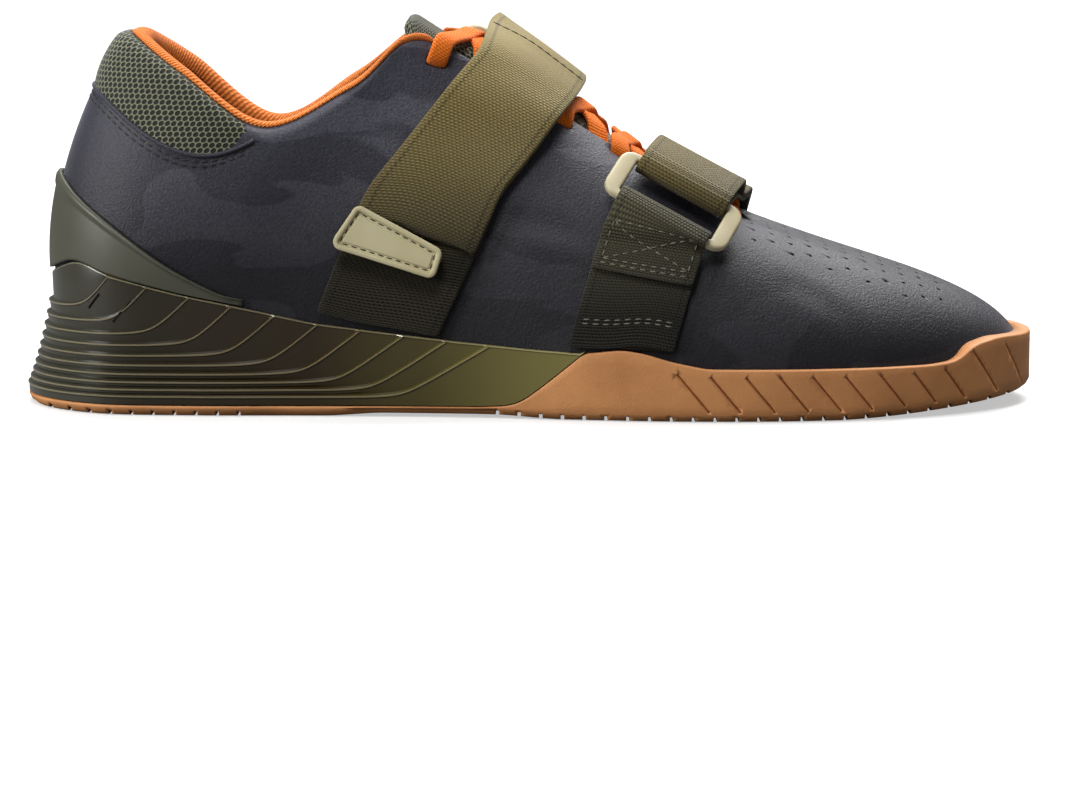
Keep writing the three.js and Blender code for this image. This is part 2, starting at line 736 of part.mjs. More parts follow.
// A ring lies along the strap with its near bar at reach q; turn is -1 down the outer side, 1 down
// the inner side
function ringFrame({ way, middle, width, skew }, q, turn) {
  const at = (level, reach) => bodyAt(placeOn(way, level, reach), reach, barOffset + liftAt(reach));
  const near = at(middle, q);
  let farReach = q;
  while (at(middle, farReach).distanceTo(near) < ringGap) farReach += 0.002 * turn;
  const down = at(middle, farReach).sub(near).normalize();
  const [heelEnd, toeEnd] = [middle - width / 2, middle + width / 2];
  const slant = skew * width / 2;
  const spread = at(toeEnd, q + slant).sub(at(heelEnd, q - slant));
  spread.add(at(toeEnd, farReach + slant)).sub(at(heelEnd, farReach - slant));
  const along = spread.addScaledVector(down, -spread.dot(down)).normalize();
  const out = along.clone().cross(down);
  if (out.dot(bodyNormal(placeOn(way, middle, q), q)) < 0) out.negate();
  return { near, far: near.clone().addScaledVector(down, ringGap), down, along, out, reach: q, farReach };
}

// Half a turn of webbing round a ring's bar
function foldRows(frame, bar, sign, levels, middle) {
  return stepsBetween(0, Math.PI, 6).map((turn) => levels.map((level) => {
    const centre = bar.clone().addScaledVector(frame.along, level - middle);
    const spoke = frame.out.clone().multiplyScalar(-Math.cos(turn));
    spoke.addScaledVector(frame.down, sign * Math.sin(turn));
    return { place: centre.addScaledVector(spoke, foldRadius), look: spoke.clone().negate() };
  }));
}

function stripOfRows(rows) {
  const moved = ({ place, look }, depth) => place.clone().addScaledVector(look, depth);
  const sheet = (depth) => rows.map((row) => row.map((point) => moved(point, depth)));
  return stripOf(sheet(webbing / 2), sheet(-webbing / 2));
}

function across(middle, width) {
  return stepsBetween(middle - width / 2, middle + width / 2, 3);
}

// Webbing comes up from the sole on one side, goes round a ring's bar and back over itself
function makeWebbing({ way, lean, skew, middle, width, ring, bar, sign, side, endReach, steps }) {
  const levels = across(middle, width);
  const barReach = bar === ring.near ? ring.reach : ring.farReach;
  const beside = (level) => barReach + (side ? 0.03 : -0.03) + skew * (level - middle);
  const common = { way, lean, levels, bar: ring.along };
  const raised = firstLayer + 2 * strapEase;
  const first = layerRows({
    ...common,
    from: (level) => reachAtRim(way, level, side),
    to: beside,
    count: steps[0],
    offset: (f) => mix(firstLayer, raised, ease(f, 0.5, 0.9)),
    face: 1,
    straight: (f) => ease(f, 0.65, 0.95),
  });
  const second = layerRows({
    ...common,
    from: beside,
    to: () => endReach,
    count: steps[1],
    offset: (f) => mix(raised + 2 * foldRadius, secondLayer, ease(f, 0, 0.4)),
    face: -1,
    straight: (f) => 1 - ease(f, 0, 0.3),
  });
  return stripOfRows([...first, ...foldRows(ring, bar, sign, levels, middle), ...second]);
}

function roundedBox(width, height, radius, Kind) {
  const [x, y] = [width / 2 - radius, height / 2 - radius];
  const path = new Kind();
  path.moveTo(x + radius, -y);
  path.absarc(x, y, radius, 0, Math.PI / 2);
  path.absarc(-x, y, radius, Math.PI / 2, Math.PI);
  path.absarc(-x, -y, radius, Math.PI, 1.5 * Math.PI);
  path.absarc(x, -y, radius, 1.5 * Math.PI, 2 * Math.PI);
  return path;
}

function makeRing(frame, width) {
  const open = width + 4 * clearance;
  const shape = roundedBox(open + 2 * ringEnd, ringGap + ringBar, 4.5, THREE.Shape);
  shape.holes.push(roundedBox(open, ringGap - ringBar, 1, THREE.Path));
  const plain = { depth: ringBar, bevelEnabled: false, curveSegments: 3 };
  const geometry = new THREE.ExtrudeGeometry(shape, plain);
  geometry.translate(0, 0, -ringBar / 2);
  const middle = frame.near.clone().lerp(frame.far, 0.5);
  const side = frame.down.clone().cross(frame.out).negate();
  const turned = new THREE.Matrix4().makeBasis(side, frame.down, side.clone().cross(frame.down));
  geometry.applyMatrix4(turned.setPosition(middle));
  return rightSideOut(geometryOfClosed(geometry));
}

function geometryOfClosed(geometry) {
  geometry.deleteAttribute('normal');
  geometry.deleteAttribute('uv');
  return mergeVertices(geometry, 1e-3);
}

// Moulded patch on a strap's end: tapered, cut from two forms in side view
// Its corners in shares of the badge's length and height, from the low corner of the wide end
const badgeCorners = [
  [-0.49, -0.38], [-0.36, 0.5], [0.46, 0.28], [0.53, 0.15], [0.48, -0.36], [-0.42, -0.54],
];

function makeBadge(x, z, side) {
  const base = secondLayer + webbing / 2 + 2 * clearance;
  const shell = solidOf(bodyForm(base + badgeThickness)).subtract(solidOf(bodyForm(base)));
  const [c, n] = [Math.cos(badgeTilt), Math.sin(badgeTilt)];
  const corners = badgeCorners.map(([u, v]) => new THREE.Vector3(
    x + u * badgeLength * c - v * badgeHeight * n,
    z + u * badgeLength * n + v * badgeHeight * c,
    0,
  ));
  const curve = new THREE.CatmullRomCurve3(corners, true, 'catmullrom', 0.35);
  const outline = curve.getPoints(18).slice(0, -1).map((point) => [point.x, point.y]);
  const prism = solidOf(sidePrism(outline, ballWidth)).translate([0, side * half, 0]);
  return shell.intersect(prism);
}

function material(color, roughness, metalness = 0) {
  return new THREE.MeshStandardMaterial({ color, roughness, metalness });
}

const gum = material(0xb87a4a, 0.75);
const wedgePlastic = material(0x3a3018, 0.45);
const coatedCloth = material(0x2e2e36, 0.6);
const mesh = material(0x5c5f45, 0.85);
const foam = material(0x26262a, 0.9);
const counterPlastic = material(0x4a4b40, 0.45);
const orange = material(0xff6a1e, 0.8);
const strapCloth = material(0x6b5f3a, 0.8);
const palePlastic = material(0xcdc39b, 0.5);

const shoe = new THREE.Group();

function addPiece(name, shape, finish) {
  const geometry = shape instanceof THREE.BufferGeometry ? shape : geometryFrom(shape);
  const piece = new THREE.Mesh(geometry, finish);
  piece.name = name;
  shoe.add(piece);
}

const [outsole, wedge] = makeSole();
addPiece('outsole', outsole, gum);
addPiece('heel_wedge', wedge, wedgePlastic);
addPiece('upper', makeUpper(), coatedCloth);
addPiece('tongue', makeTongue(), mesh);
addPiece('insole', makeInsole(), foam);
addPiece('heel_counter', makeCounter(), counterPlastic);
addPiece('collar_piping', makePiping(), orange);
addPiece('laces', makeLaces(), orange);

const instep = { way: instepWay, lean: instepLean, skew: 0, middle: instepMiddle, width: instepWidth };
const instepRing = ringFrame(instep, instepRingReach, 1);
const instepUpper = {
  ...instep,
  ring: instepRing,
  bar: instepRing.near,
  sign: 1,
  side: 0,
  endReach: instepStrapEnd,
  steps: [18, 16],
};
const instepLower = {
  ...instep,
  ring: instepRing,
  bar: instepRing.far,
  sign: -1,
  side: 1,
  endReach: instepAnchorEnd,
  steps: [8, 5],
};
addPiece('instep_strap', makeWebbing(instepUpper), strapCloth);
addPiece('instep_ring', makeRing(instepRing, instepWidth), palePlastic);
addPiece('instep_anchor', makeWebbing(instepLower), strapCloth);
addPiece('instep_badge', makeBadge(-length * 0.137, collarHeight * 0.455, -1), palePlastic);

const forefoot = {
  way: forefootWay,
  lean: forefootLean,
  skew: forefootSkew,
  middle: forefootMiddle,
  width: forefootWidth,
};
const forefootRing = ringFrame(forefoot, forefootRingReach, -1);
const forefootUpper = {
  ...forefoot,
  ring: forefootRing,
  bar: forefootRing.near,
  sign: 1,
  side: 1,
  endReach: forefootStrapEnd,
  steps: [16, 12],
};
const forefootLower = {
  ...forefoot,
  ring: forefootRing,
  bar: forefootRing.far,
  sign: -1,
  side: 0,
  endReach: forefootAnchorEnd,
  steps: [8, 5],
};
addPiece('forefoot_strap', makeWebbing(forefootUpper), strapCloth);
addPiece('forefoot_ring', makeRing(forefootRing, forefootWidth), palePlastic);
addPiece('forefoot_anchor', makeWebbing(forefootLower), strapCloth);
addPiece('forefoot_badge', makeBadge(length * 0.14, collarHeight * 0.43, 1), palePlastic);

export default shoe;
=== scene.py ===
# Right weightlifting shoe: gum outsole, ribbed heel wedge, coated cloth upper, laces, two webbing straps
import math
from functools import lru_cache

import bmesh
import bpy
from mathutils import Matrix, Vector


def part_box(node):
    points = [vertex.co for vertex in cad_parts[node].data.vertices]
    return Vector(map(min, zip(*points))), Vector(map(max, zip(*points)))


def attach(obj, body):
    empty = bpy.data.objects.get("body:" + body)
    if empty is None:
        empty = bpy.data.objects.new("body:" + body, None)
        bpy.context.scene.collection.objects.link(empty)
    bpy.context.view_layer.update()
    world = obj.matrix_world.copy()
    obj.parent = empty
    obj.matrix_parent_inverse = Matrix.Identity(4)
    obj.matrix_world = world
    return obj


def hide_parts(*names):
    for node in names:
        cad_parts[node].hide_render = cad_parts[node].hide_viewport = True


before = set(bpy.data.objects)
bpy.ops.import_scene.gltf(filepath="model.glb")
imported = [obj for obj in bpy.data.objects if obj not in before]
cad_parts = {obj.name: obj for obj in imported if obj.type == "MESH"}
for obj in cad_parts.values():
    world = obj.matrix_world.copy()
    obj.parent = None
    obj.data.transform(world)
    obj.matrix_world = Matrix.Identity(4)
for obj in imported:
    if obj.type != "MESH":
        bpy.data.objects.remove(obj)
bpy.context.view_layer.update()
mm = 0.001

# The shoe's own sizes in millimetres. Length comes from the frame, the rest follows it
soleLow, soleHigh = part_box("outsole")
shoe = {
    "length": (soleHigh.x - soleLow.x) / mm, "ballWidth": 104, "collarHeight": 111, "clearance": 0.3,
    "ballStack": 9, "heelLift": 19.5, "toeSpring": 4.2, "archRaise": 0.9, "soleEdge": 3.4,
    "cupWall": 2.4, "rimPeak": 44, "sideFlare": 5.6, "backFlare": 7.4,
    "ribCount": 10, "ribTop": 30.4, "ribPitch": 3.6, "ribTighten": 0.1, "gumThickness": 3.2,
    "upperWall": 2.2, "collarPad": 8,
}
length = shoe["length"]
half = shoe["ballWidth"] / 2

# Stations round the shoe from the toe along the outer side to the heel and back: X as shares of the
# length, Y of half the ball width, Z of the collar height, handles as shares of rise, run and half width
stationColumns = ["soleX", "soleY", "topX", "topY", "topZ", "lowUp", "lowOut", "reach", "highOut", "drop"]
stationRows = [
    [1.000, 0.06, 0.722, 0.10, 0.480, 0.43, -0.02, 0.62, 0.00, 0.34],
    [0.984, -0.28, 0.720, 0.01, 0.482, 0.43, -0.01, 0.61, 0.00, 0.33],
    [0.934, -0.60, 0.709, -0.07, 0.495, 0.43, 0.00, 0.57, 0.00, 0.27],
    [0.851, -0.86, 0.679, -0.135, 0.535, 0.42, 0.02, 0.50, 0.00, 0.23],
    [0.755, -0.985, 0.629, -0.18, 0.612, 0.42, 0.03, 0.45, 0.00, 0.19],
    [0.652, -1.00, 0.563, -0.22, 0.725, 0.42, 0.03, 0.42, 0.00, 0.18],
    [0.550, -0.93, 0.487, -0.26, 0.852, 0.42, 0.03, 0.38, 0.00, 0.20],
    [0.454, -0.83, 0.420, -0.33, 0.950, 0.40, 0.03, 0.32, 0.01, 0.24],
    [0.361, -0.78, 0.377, -0.41, 0.962, 0.38, 0.03, 0.25, 0.03, 0.28],
    [0.268, -0.765, 0.325, -0.52, 0.830, 0.36, 0.04, 0.20, 0.05, 0.30],
    [0.175, -0.76, 0.240, -0.605, 0.727, 0.36, 0.05, 0.20, 0.06, 0.32],
    [0.083, -0.69, 0.157, -0.50, 0.868, 0.34, 0.07, 0.30, 0.06, 0.32],
    [0.021, -0.40, 0.106, -0.285, 0.962, 0.34, 0.09, 0.55, 0.04, 0.30],
    [0.000, 0.00, 0.095, 0.00, 0.975, 0.34, 0.11, 0.70, 0.02, 0.30],
    [0.021, 0.40, 0.106, 0.285, 0.962, 0.34, 0.09, 0.55, 0.04, 0.30],
    [0.083, 0.68, 0.157, 0.50, 0.874, 0.34, 0.07, 0.30, 0.06, 0.32],
    [0.175, 0.73, 0.240, 0.60, 0.715, 0.36, 0.05, 0.20, 0.06, 0.32],
    [0.268, 0.69, 0.325, 0.53, 0.838, 0.36, 0.04, 0.20, 0.05, 0.30],
    [0.361, 0.645, 0.380, 0.44, 0.962, 0.38, 0.03, 0.25, 0.03, 0.28],
    [0.454, 0.665, 0.424, 0.375, 0.950, 0.40, 0.03, 0.32, 0.01, 0.24],
    [0.550, 0.79, 0.490, 0.345, 0.855, 0.42, 0.03, 0.38, 0.00, 0.20],
    [0.652, 0.94, 0.566, 0.335, 0.730, 0.42, 0.03, 0.42, 0.00, 0.18],
    [0.755, 1.00, 0.632, 0.325, 0.615, 0.42, 0.03, 0.45, 0.00, 0.19],
    [0.851, 0.93, 0.682, 0.31, 0.540, 0.42, 0.02, 0.50, 0.00, 0.23],
    [0.937, 0.70, 0.712, 0.25, 0.497, 0.43, 0.00, 0.57, 0.00, 0.27],
    [0.988, 0.385, 0.721, 0.18, 0.482, 0.43, -0.01, 0.61, 0.00, 0.33],
]
stationCount = len(stationRows)
heelStation = stationCount // 2

# Side view lines: share of the length from the heel, then share of the rim's peak or collar height
rimRows = [
    [0.020, 0.857], [0.037, 0.945], [0.056, 1.000], [0.070, 0.977], [0.085, 0.930], [0.120, 0.868],
    [0.162, 0.798], [0.200, 0.748], [0.290, 0.618], [0.354, 0.564], [0.430, 0.507], [0.500, 0.468],
    [0.553, 0.446], [0.588, 0.475], [0.610, 0.452], [0.638, 0.396], [0.670, 0.352], [0.760, 0.348],
    [0.890, 0.346], [0.915, 0.362], [0.933, 0.459], [0.960, 0.493], [1.000, 0.477],
]
counterRows = [
    [0.000, 0.655], [0.035, 0.640], [0.046, 0.603], [0.060, 0.566], [0.080, 0.527], [0.101, 0.485],
    [0.140, 0.407], [0.166, 0.365], [0.188, 0.335], [0.212, 0.306],
]
padRows = [
    [0.030, 0.905], [0.050, 0.890], [0.074, 0.855], [0.086, 0.824], [0.106, 0.775], [0.125, 0.737],
    [0.145, 0.706], [0.163, 0.686], [0.180, 0.677], [0.200, 0.680], [0.222, 0.701], [0.245, 0.737],
    [0.267, 0.772], [0.286, 0.806], [0.300, 0.850], [0.330, 0.960],
]


def mix(a, b, f):
    return a + (b - a) * f


def ease(value, start, end):
    f = min(1, max(0, (value - start) / (end - start)))
    return f * f * (3 - 2 * f)


def softRamp(distance, softness):
    return 0.5 * (distance + math.sqrt(distance * distance + softness * softness))


def steps(start, end, count):
    return [mix(start, end, i / count) for i in range(count + 1)]


def curveThrough(a, b, c, d, f):
    return b + 0.5 * f * (c - a + f * (2 * a - 5 * b + 4 * c - d + f * (3 * (b - c) + d - a)))


def around(column, s):
    index = stationColumns.index(column)
    first = math.floor(s)
    rows = [stationRows[(first + step) % stationCount][index] for step in (-1, 0, 1, 2)]
    return curveThrough(*rows, s - first)


def along(rows, x):
    share = x / length + 0.5
    if share <= rows[0][0]:
        return rows[0][1]
    for a, b in zip(rows, rows[1:]):
        if share < b[0]:
            return mix(a[1], b[1], (share - a[0]) / (b[0] - a[0]))
    return rows[-1][1]


def smoothAlong(rows, x, blur=3):
    # the same line with its corners rounded over a few millimetres
    return sum(along(rows, x + step * blur) for step in (-1, -0.5, 0, 0.5, 1)) / 5


def rimHeight(x):
    return shoe["rimPeak"] * smoothAlong(rimRows, x, 2)


def springHeight(x):
    share = x / length + 0.5
    arch = ease(share, 0.3, 0.36) * (1 - ease(share, 0.46, 0.53))
    return shoe["toeSpring"] * max(0, (share - 0.8) / 0.2) ** 1.4 + shoe["archRaise"] * arch


def footbedHeight(x):
    share = x / length + 0.5
    heel = shoe["heelLift"] * (1 - ease(share, 0.15, 0.62))
    return shoe["ballStack"] + heel + shoe["toeSpring"] * max(0, (share - 0.8) / 0.2) ** 1.4


@lru_cache(maxsize=None)
def soleEdge(s):
    def at(value):
        return Vector((around("soleX", value) * length - length / 2, around("soleY", value) * half, 0))
    tangent = (at(s + 0.01) - at(s - 0.01)).normalized()
    return at(s), Vector((-tangent.y, tangent.x, 0))


def soleEdgeAt(s, inset=0):
    place, out = soleEdge(s)
    return place - out * inset, out


def ribCrossing(k):
    return length * (0.088 + 0.0415 * k - 0.5)


def ribHeight(k, x):
    level = shoe["ribTop"] - shoe["ribPitch"] * k + shoe["ribTighten"] * k * k
    slope = 1.15 - 0.06 * k
    turn = ribCrossing(k) - (rimHeight(ribCrossing(k)) - level) / slope
    return level + slope * softRamp(x - turn, 5)


def flareAt(out):
    return shoe["sideFlare"] + (shoe["backFlare"] - shoe["sideFlare"]) * max(0, -out.x) ** 2


def ribsPassed(x):
    return min(shoe["ribCount"], max(0, (x - ribCrossing(0)) / (ribCrossing(1) - ribCrossing(0))))


def gumHeight(x):
    return shoe["gumThickness"] + 0.85 * softRamp(x + length * 0.012, 4)


@lru_cache(maxsize=None)
def skinHandles(s):
    place, out = soleEdgeAt(s)
    foot, out = soleEdgeAt(s, shoe["cupWall"] + flareAt(out) * (1 - ribsPassed(place.x) / shoe["ribCount"]))
    bottom = Vector((foot.x, foot.y, footbedHeight(foot.x) + shoe["clearance"]))
    top = Vector((
        around("topX", s) * length - length / 2, around("topY", s) * half,
        around("topZ", s) * shoe["collarHeight"]))
    rise = top.z - bottom.z
    low = bottom + out * around("lowOut", s) * half
    low.z += around("lowUp", s) * rise
    high = top.lerp(bottom, around("reach", s)) + out * around("highOut", s) * half
    high.z = top.z - around("drop", s) * rise
    return bottom, low, high, top


def cubic(points, t):
    a, b, c, d = points
    m = 1 - t
    return a * (m * m * m) + b * (3 * m * m * t) + c * (3 * m * t * t) + d * (t * t * t)


def skin(s, t):
    return cubic(skinHandles(round(s % stationCount, 5)), t)


# The whole foot form as one sheet: p from toe to heel, q up the outer side (0 to 1), over the throat
# (1 to 2) and down the inner side (2 to 3)
@lru_cache(maxsize=None)
def capHandles(p):
    left, right = skin(p, 1), skin(stationCount - p, 1)
    reach = mix(0.42, 0.1, ease(p, 5.6, 7.2)) * (left - right).length
    leave = (left - skin(p, 0.97)).normalized() * reach
    enter = (right - skin(stationCount - p, 0.97)).normalized() * reach
    return left, left + leave, right + enter, right


def body(p, q):
    if q <= 1:
        return skin(p, q)
    if q >= 2:
        return skin(stationCount - p, 3 - q)
    return cubic(capHandles(round(p, 5)), q - 1)


def bodyNormal(p, q, step=0.02):
    alongP = body(p + step, q) - body(p - step, q)
    alongQ = body(p, min(3, q + step)) - body(p, max(0, q - step))
    return alongQ.cross(alongP).normalized()


def bodyAt(p, q, offset):
    return body(p, q) + bodyNormal(p, q) * offset


def skinNormal(s, t, step=0.02):
    alongS = skin(s + step, t) - skin(s - step, t)
    alongT = skin(s, min(1, t + step)) - skin(s, max(0, t - step))
    return alongT.cross(alongS).normalized()


def skinAt(s, t, offset):
    return skin(s, t) + skinNormal(s, t) * offset


def halving(low, high, count, isBelow):
    # the value between low and high up to which a test holds
    for _ in range(count):
        middle = (low + high) / 2
        if isBelow(middle):
            low = middle
        else:
            high = middle
    return (low + high) / 2


def reachOfHeight(s, height):
    # how far up the skin a height lies, as a share of its curve
    return halving(0.0, 1.0, 22, lambda t: skin(s, t).z < height)


def reachOfLine(s, heightOf):
    # the same for a line in the side view, given as a height for each point
    return halving(0.0, 1.0, 22, lambda t: skin(s, t).z < heightOf(skin(s, t)))


def firstStation(start, end, test):
    return next(s for s in steps(start, end, 400) if test(s))


def collarShare(s):
    return ease(s, 8.2, 9.4) * (1 - ease(s, stationCount - 9.4, stationCount - 8.2))


def wallAt(s, t):
    return mix(shoe["upperWall"], shoe["collarPad"], collarShare(s) * ease(t, 0.5, 0.8))


# Mesh helpers. A grid is made flat with its UV map and then bent into place
def finishMesh(bm, name, outFrom=None, smooth=True, merge=1e-6):
    bmesh.ops.remove_doubles(bm, verts=bm.verts, dist=merge)
    bmesh.ops.dissolve_degenerate(bm, edges=bm.edges, dist=merge / 10)
    if outFrom is None:
        bmesh.ops.recalc_face_normals(bm, faces=bm.faces)
    else:
        facing = sum(f.normal.dot(outFrom(f.calc_center_median())) * f.calc_area() for f in bm.faces)
        if facing < 0:
            bmesh.ops.reverse_faces(bm, faces=bm.faces)
    for face in bm.faces:
        face.smooth = smooth
    mesh = bpy.data.meshes.new(name)
    bm.to_mesh(mesh)
    bm.free()
    piece = bpy.data.objects.new(name, mesh)
    bpy.context.scene.collection.objects.link(piece)
    return piece


def bentGrid(columns, rows, placeAt, uvSize=(1, 1)):
    bm = bmesh.new()
    bmesh.ops.create_grid(bm, x_segments=columns, y_segments=rows, size=0.5)
    uvMap = bm.loops.layers.uv.new("UVMap")
    for face in bm.faces:
        for loop in face.loops:
            share = loop.vert.co
            loop[uvMap].uv = ((share.x + 0.5) * uvSize[0], (share.y + 0.5) * uvSize[1])
    for vert in bm.verts:
        vert.co = placeAt(vert.co.x + 0.5, vert.co.y + 0.5) * mm
    return bm


def fillHoles(bm):
    # the open ends of a form, closed with flat fans
    bmesh.ops.remove_doubles(bm, verts=bm.verts, dist=1e-6)
    rims = [edge for edge in bm.edges if edge.is_boundary]
    if rims:
        bmesh.ops.holes_fill(bm, edges=rims, sides=0)


def closedForm(name, rows, columns, start, end, pointAt, uvSize, merge=1e-6):
    # rows round the shoe between two stations. The first and last row meet their opposite on the
    # shoe's middle line, so the form closes underneath and on top
    def placeAt(u, v):
        row = min(rows - 1, max(0, round(v * (rows + 1)) - 1))
        if 0 < round(v * (rows + 1)) < rows + 1:
            return pointAt(row, mix(start, end, u))
        return (pointAt(row, mix(start, end, u)) + pointAt(row, mix(start, end, 1 - u))) / 2
    bm = bentGrid(columns, rows + 1, placeAt, uvSize)
    fillHoles(bm)
    return finishMesh(bm, name, merge=merge)


def roundedFlat(width, thickness, count, edgeSteps=4):
    # section of a flat band with round edges: across and depth in millimetres
    radius = thickness / 2
    flat = width / 2 - radius
    section = [(a, radius) for a in steps(-flat, flat, count)]
    section += [(flat + radius * math.sin(turn), radius * math.cos(turn))
                for turn in steps(0, math.pi, edgeSteps)[1:-1]]
    section += [(a, -radius) for a in steps(flat, -flat, count)]
    section += [(-flat - radius * math.sin(turn), -radius * math.cos(turn))
                for turn in steps(0, math.pi, edgeSteps)[1:-1]]
    return section


def bandPiece(name, count, pointAt, section, uvSize):
    # a band swept along: pointAt(index, across) gives its middle surface and which way it faces
    girth = len(section)

    def placeAt(u, v):
        across, depth = section[round(v * girth) % girth]
        place, look = pointAt(round(u * count), across)
        return place + look * depth
    bm = bentGrid(count, girth, placeAt, uvSize)
    fillHoles(bm)
    return finishMesh(bm, name)


def roundCord(name, path, radius, sides=10):
    # a round cord along a list of points
    count = len(path) - 1
    frames = []
    for i, point in enumerate(path):
        tangent = (path[min(count, i + 1)] - path[max(0, i - 1)]).normalized()
        side = tangent.cross(Vector((0, 0, 1)))
        side = side.normalized() if side.length > 0.05 else Vector((0, 1, 0))
        frames.append((point, side, side.cross(tangent)))

    def placeAt(u, v):
        point, side, out = frames[round(u * count)]
        turn = 2 * math.pi * v
        return point + (side * math.cos(turn) + out * math.sin(turn)) * radius
    lengthAll = sum((b - a).length for a, b in zip(path, path[1:]))
    bm = bentGrid(count, sides, placeAt, (lengthAll, 2 * math.pi * radius))
    fillHoles(bm)
    return finishMesh(bm, name)


def stitchRow(bm, path, looks, dash=2.2, gap=1.0, radius=0.28):
    # small round dashes along a path, sunk halfway into what they hold
    spans = [(b - a).length for a, b in zip(path, path[1:])]
    total = sum(spans)
    count = max(1, int(total // (dash + gap)))
    pitch = total / count

    def at(distance):
        left = distance
        for span, a, b, look in zip(spans, path, path[1:], looks):
            if left <= span:
                return a.lerp(b, left / span), look
            left -= span
        return path[-1], looks[-1]
    for i in range(count):
        start, look = at(i * pitch + gap / 2)
        end, _ = at(i * pitch + gap / 2 + dash)
        ahead = (end - start).normalized()
        side = look.cross(ahead).normalized()
        turned = Matrix((ahead, side, look)).transposed().to_4x4()
        shape = Matrix.Diagonal(((end - start).length / 2 + radius, radius, radius * 0.8, 1))
        place = Matrix.Translation((start + end) / 2 * mm) @ turned @ Matrix.Scale(mm, 4) @ shape
        bmesh.ops.create_icosphere(bm, subdivisions=1, radius=1, matrix=place)


def crisp(piece, degrees):
    piece.data.set_sharp_from_angle(angle=math.radians(degrees))
    return piece


def keep(piece, material, slot, *nodes):
    for one in material if isinstance(material, list) else [material]:
        piece.data.materials.append(one)
    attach(piece, "root")
    if nodes:
        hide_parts(*nodes)
    return piece


def addSolidify(piece, thickness):
    wall = piece.modifiers.new("wall", "SOLIDIFY")
    wall.thickness = thickness * mm
    wall.offset = -1


def addBox(bm, place, size, *turns):
    # a box for cutting, its place and size in millimetres
    matrix = Matrix.Translation(place * mm)
    for turn in turns:
        matrix = matrix @ turn
    bmesh.ops.create_cube(bm, size=1, matrix=matrix @ Matrix.Diagonal((*[side * mm for side in size], 1)))


def cutWith(piece, cutter):
    cut = piece.modifiers.new("cut", "BOOLEAN")
    cut.object = cutter
    cut.solver = "MANIFOLD"
    bpy.context.view_layer.objects.active = piece
    bpy.ops.object.modifier_apply(modifier="cut")
    bpy.data.objects.remove(cutter)
    for i in range(len(piece.data.materials) - 1, -1, -1):
        if piece.data.materials[i] is None:
            piece.data.materials.pop(index=i)
    for face in piece.data.polygons:
        face.material_index = min(face.material_index, max(0, len(piece.data.materials) - 1))
    bm = bmesh.new()
    bm.from_mesh(piece.data)
    bmesh.ops.dissolve_degenerate(bm, edges=bm.edges, dist=1e-6)
    fillHoles(bm)
    bm.to_mesh(piece.data)
    bm.free()


def newGroup(name, inputs, outputs):
    tree = bpy.data.node_groups.new(name, "ShaderNodeTree")
    for socket, kind, value in inputs:
        made = tree.interface.new_socket(name=socket, in_out="INPUT", socket_type="NodeSocket" + kind)
        if value is not None:
            made.default_value = value
    for socket, kind in outputs:
        tree.interface.new_socket(name=socket, in_out="OUTPUT", socket_type="NodeSocket" + kind)
    return tree, tree.nodes.new("NodeGroupInput"), tree.nodes.new("NodeGroupOutput")


def addNode(tree, kind, **values):
    made = tree.nodes.new("ShaderNode" + kind)
    for key, value in values.items():
        if hasattr(made, key):
            setattr(made, key, value)
        else:
            made.inputs[key].default_value = value
    return made


def addMath(tree, operation, a, b=None, clamp=False):
    made = addNode(tree, "Math", operation=operation, use_clamp=clamp)
    for socket, value in zip(made.inputs, (a, b)):
        if isinstance(value, (int, float)):
            socket.default_value = value
        elif value is not None:
            tree.links.new(value, socket)
    return made.outputs[0]


def addRange(tree, value, toMin, toMax, fromMin=0, fromMax=1):
    made = addNode(tree, "MapRange")
    limits = (("From Min", fromMin), ("From Max", fromMax), ("To Min", toMin), ("To Max", toMax))
    for socket, limit in limits:
        made.inputs[socket].default_value = limit
    tree.links.new(value, made.inputs["Value"])
    return made.outputs[0]


def addBand(tree, value, centre, halfWidth):
    # 1 where a value lies close to a centre, 0 elsewhere
    away = addMath(tree, "ABSOLUTE", addMath(tree, "SUBTRACT", value, centre))
    return addMath(tree, "LESS_THAN", away, halfWidth)


print("stage: camera, floor and light")
bpy.context.scene.view_settings.view_transform = "Standard"
view = {
    "place": (0.003, -1.100, 0.1609), "tilt": 81.70, "focalPixels": 3676, "frameWidth": 1080, "sensor": 36,
}
camera = bpy.data.objects.new("camera", bpy.data.cameras.new("camera"))
camera.location = view["place"]
camera.rotation_euler = (math.radians(view["tilt"]), 0, 0)
camera.data.lens = view["focalPixels"] * view["sensor"] / view["frameWidth"]
bpy.context.scene.collection.objects.link(camera)
bpy.context.scene.camera = camera

studio = {
    "floor": 0.62, "bounce": 0.12, "floorGlow": 0.5, "sky": 0.13, "backdrop": 1.0,
    "sun": {"lean": (-24, 10, 0), "strength": 2.9, "angle": 35},
    "lamps": [
        ("keyLamp", (-0.25, -0.75, 1.25), 0.5, 9.0), ("heelLamp", (-1.1, -0.45, 0.45), 0.35, 9.0),
        ("backLamp", (0.2, 0.9, 0.9), 0.9, 8),
    ],
}
world = bpy.data.worlds.new("studio")
bpy.context.scene.world = world
world.use_nodes = True
tree = world.node_tree
background = tree.nodes["Background"]
background.inputs["Color"].default_value = (1, 1, 1, 1)
seen = tree.nodes.new("ShaderNodeLightPath").outputs["Is Camera Ray"]  # white backdrop, softer light
tree.links.new(addRange(tree, seen, studio["sky"], studio["backdrop"]), background.inputs["Strength"])
sun = bpy.data.objects.new("sun", bpy.data.lights.new("sun", "SUN"))
sun.data.energy = studio["sun"]["strength"]
sun.data.angle = math.radians(studio["sun"]["angle"])
sun.rotation_euler = [math.radians(turn) for turn in studio["sun"]["lean"]]
bpy.context.scene.collection.objects.link(sun)
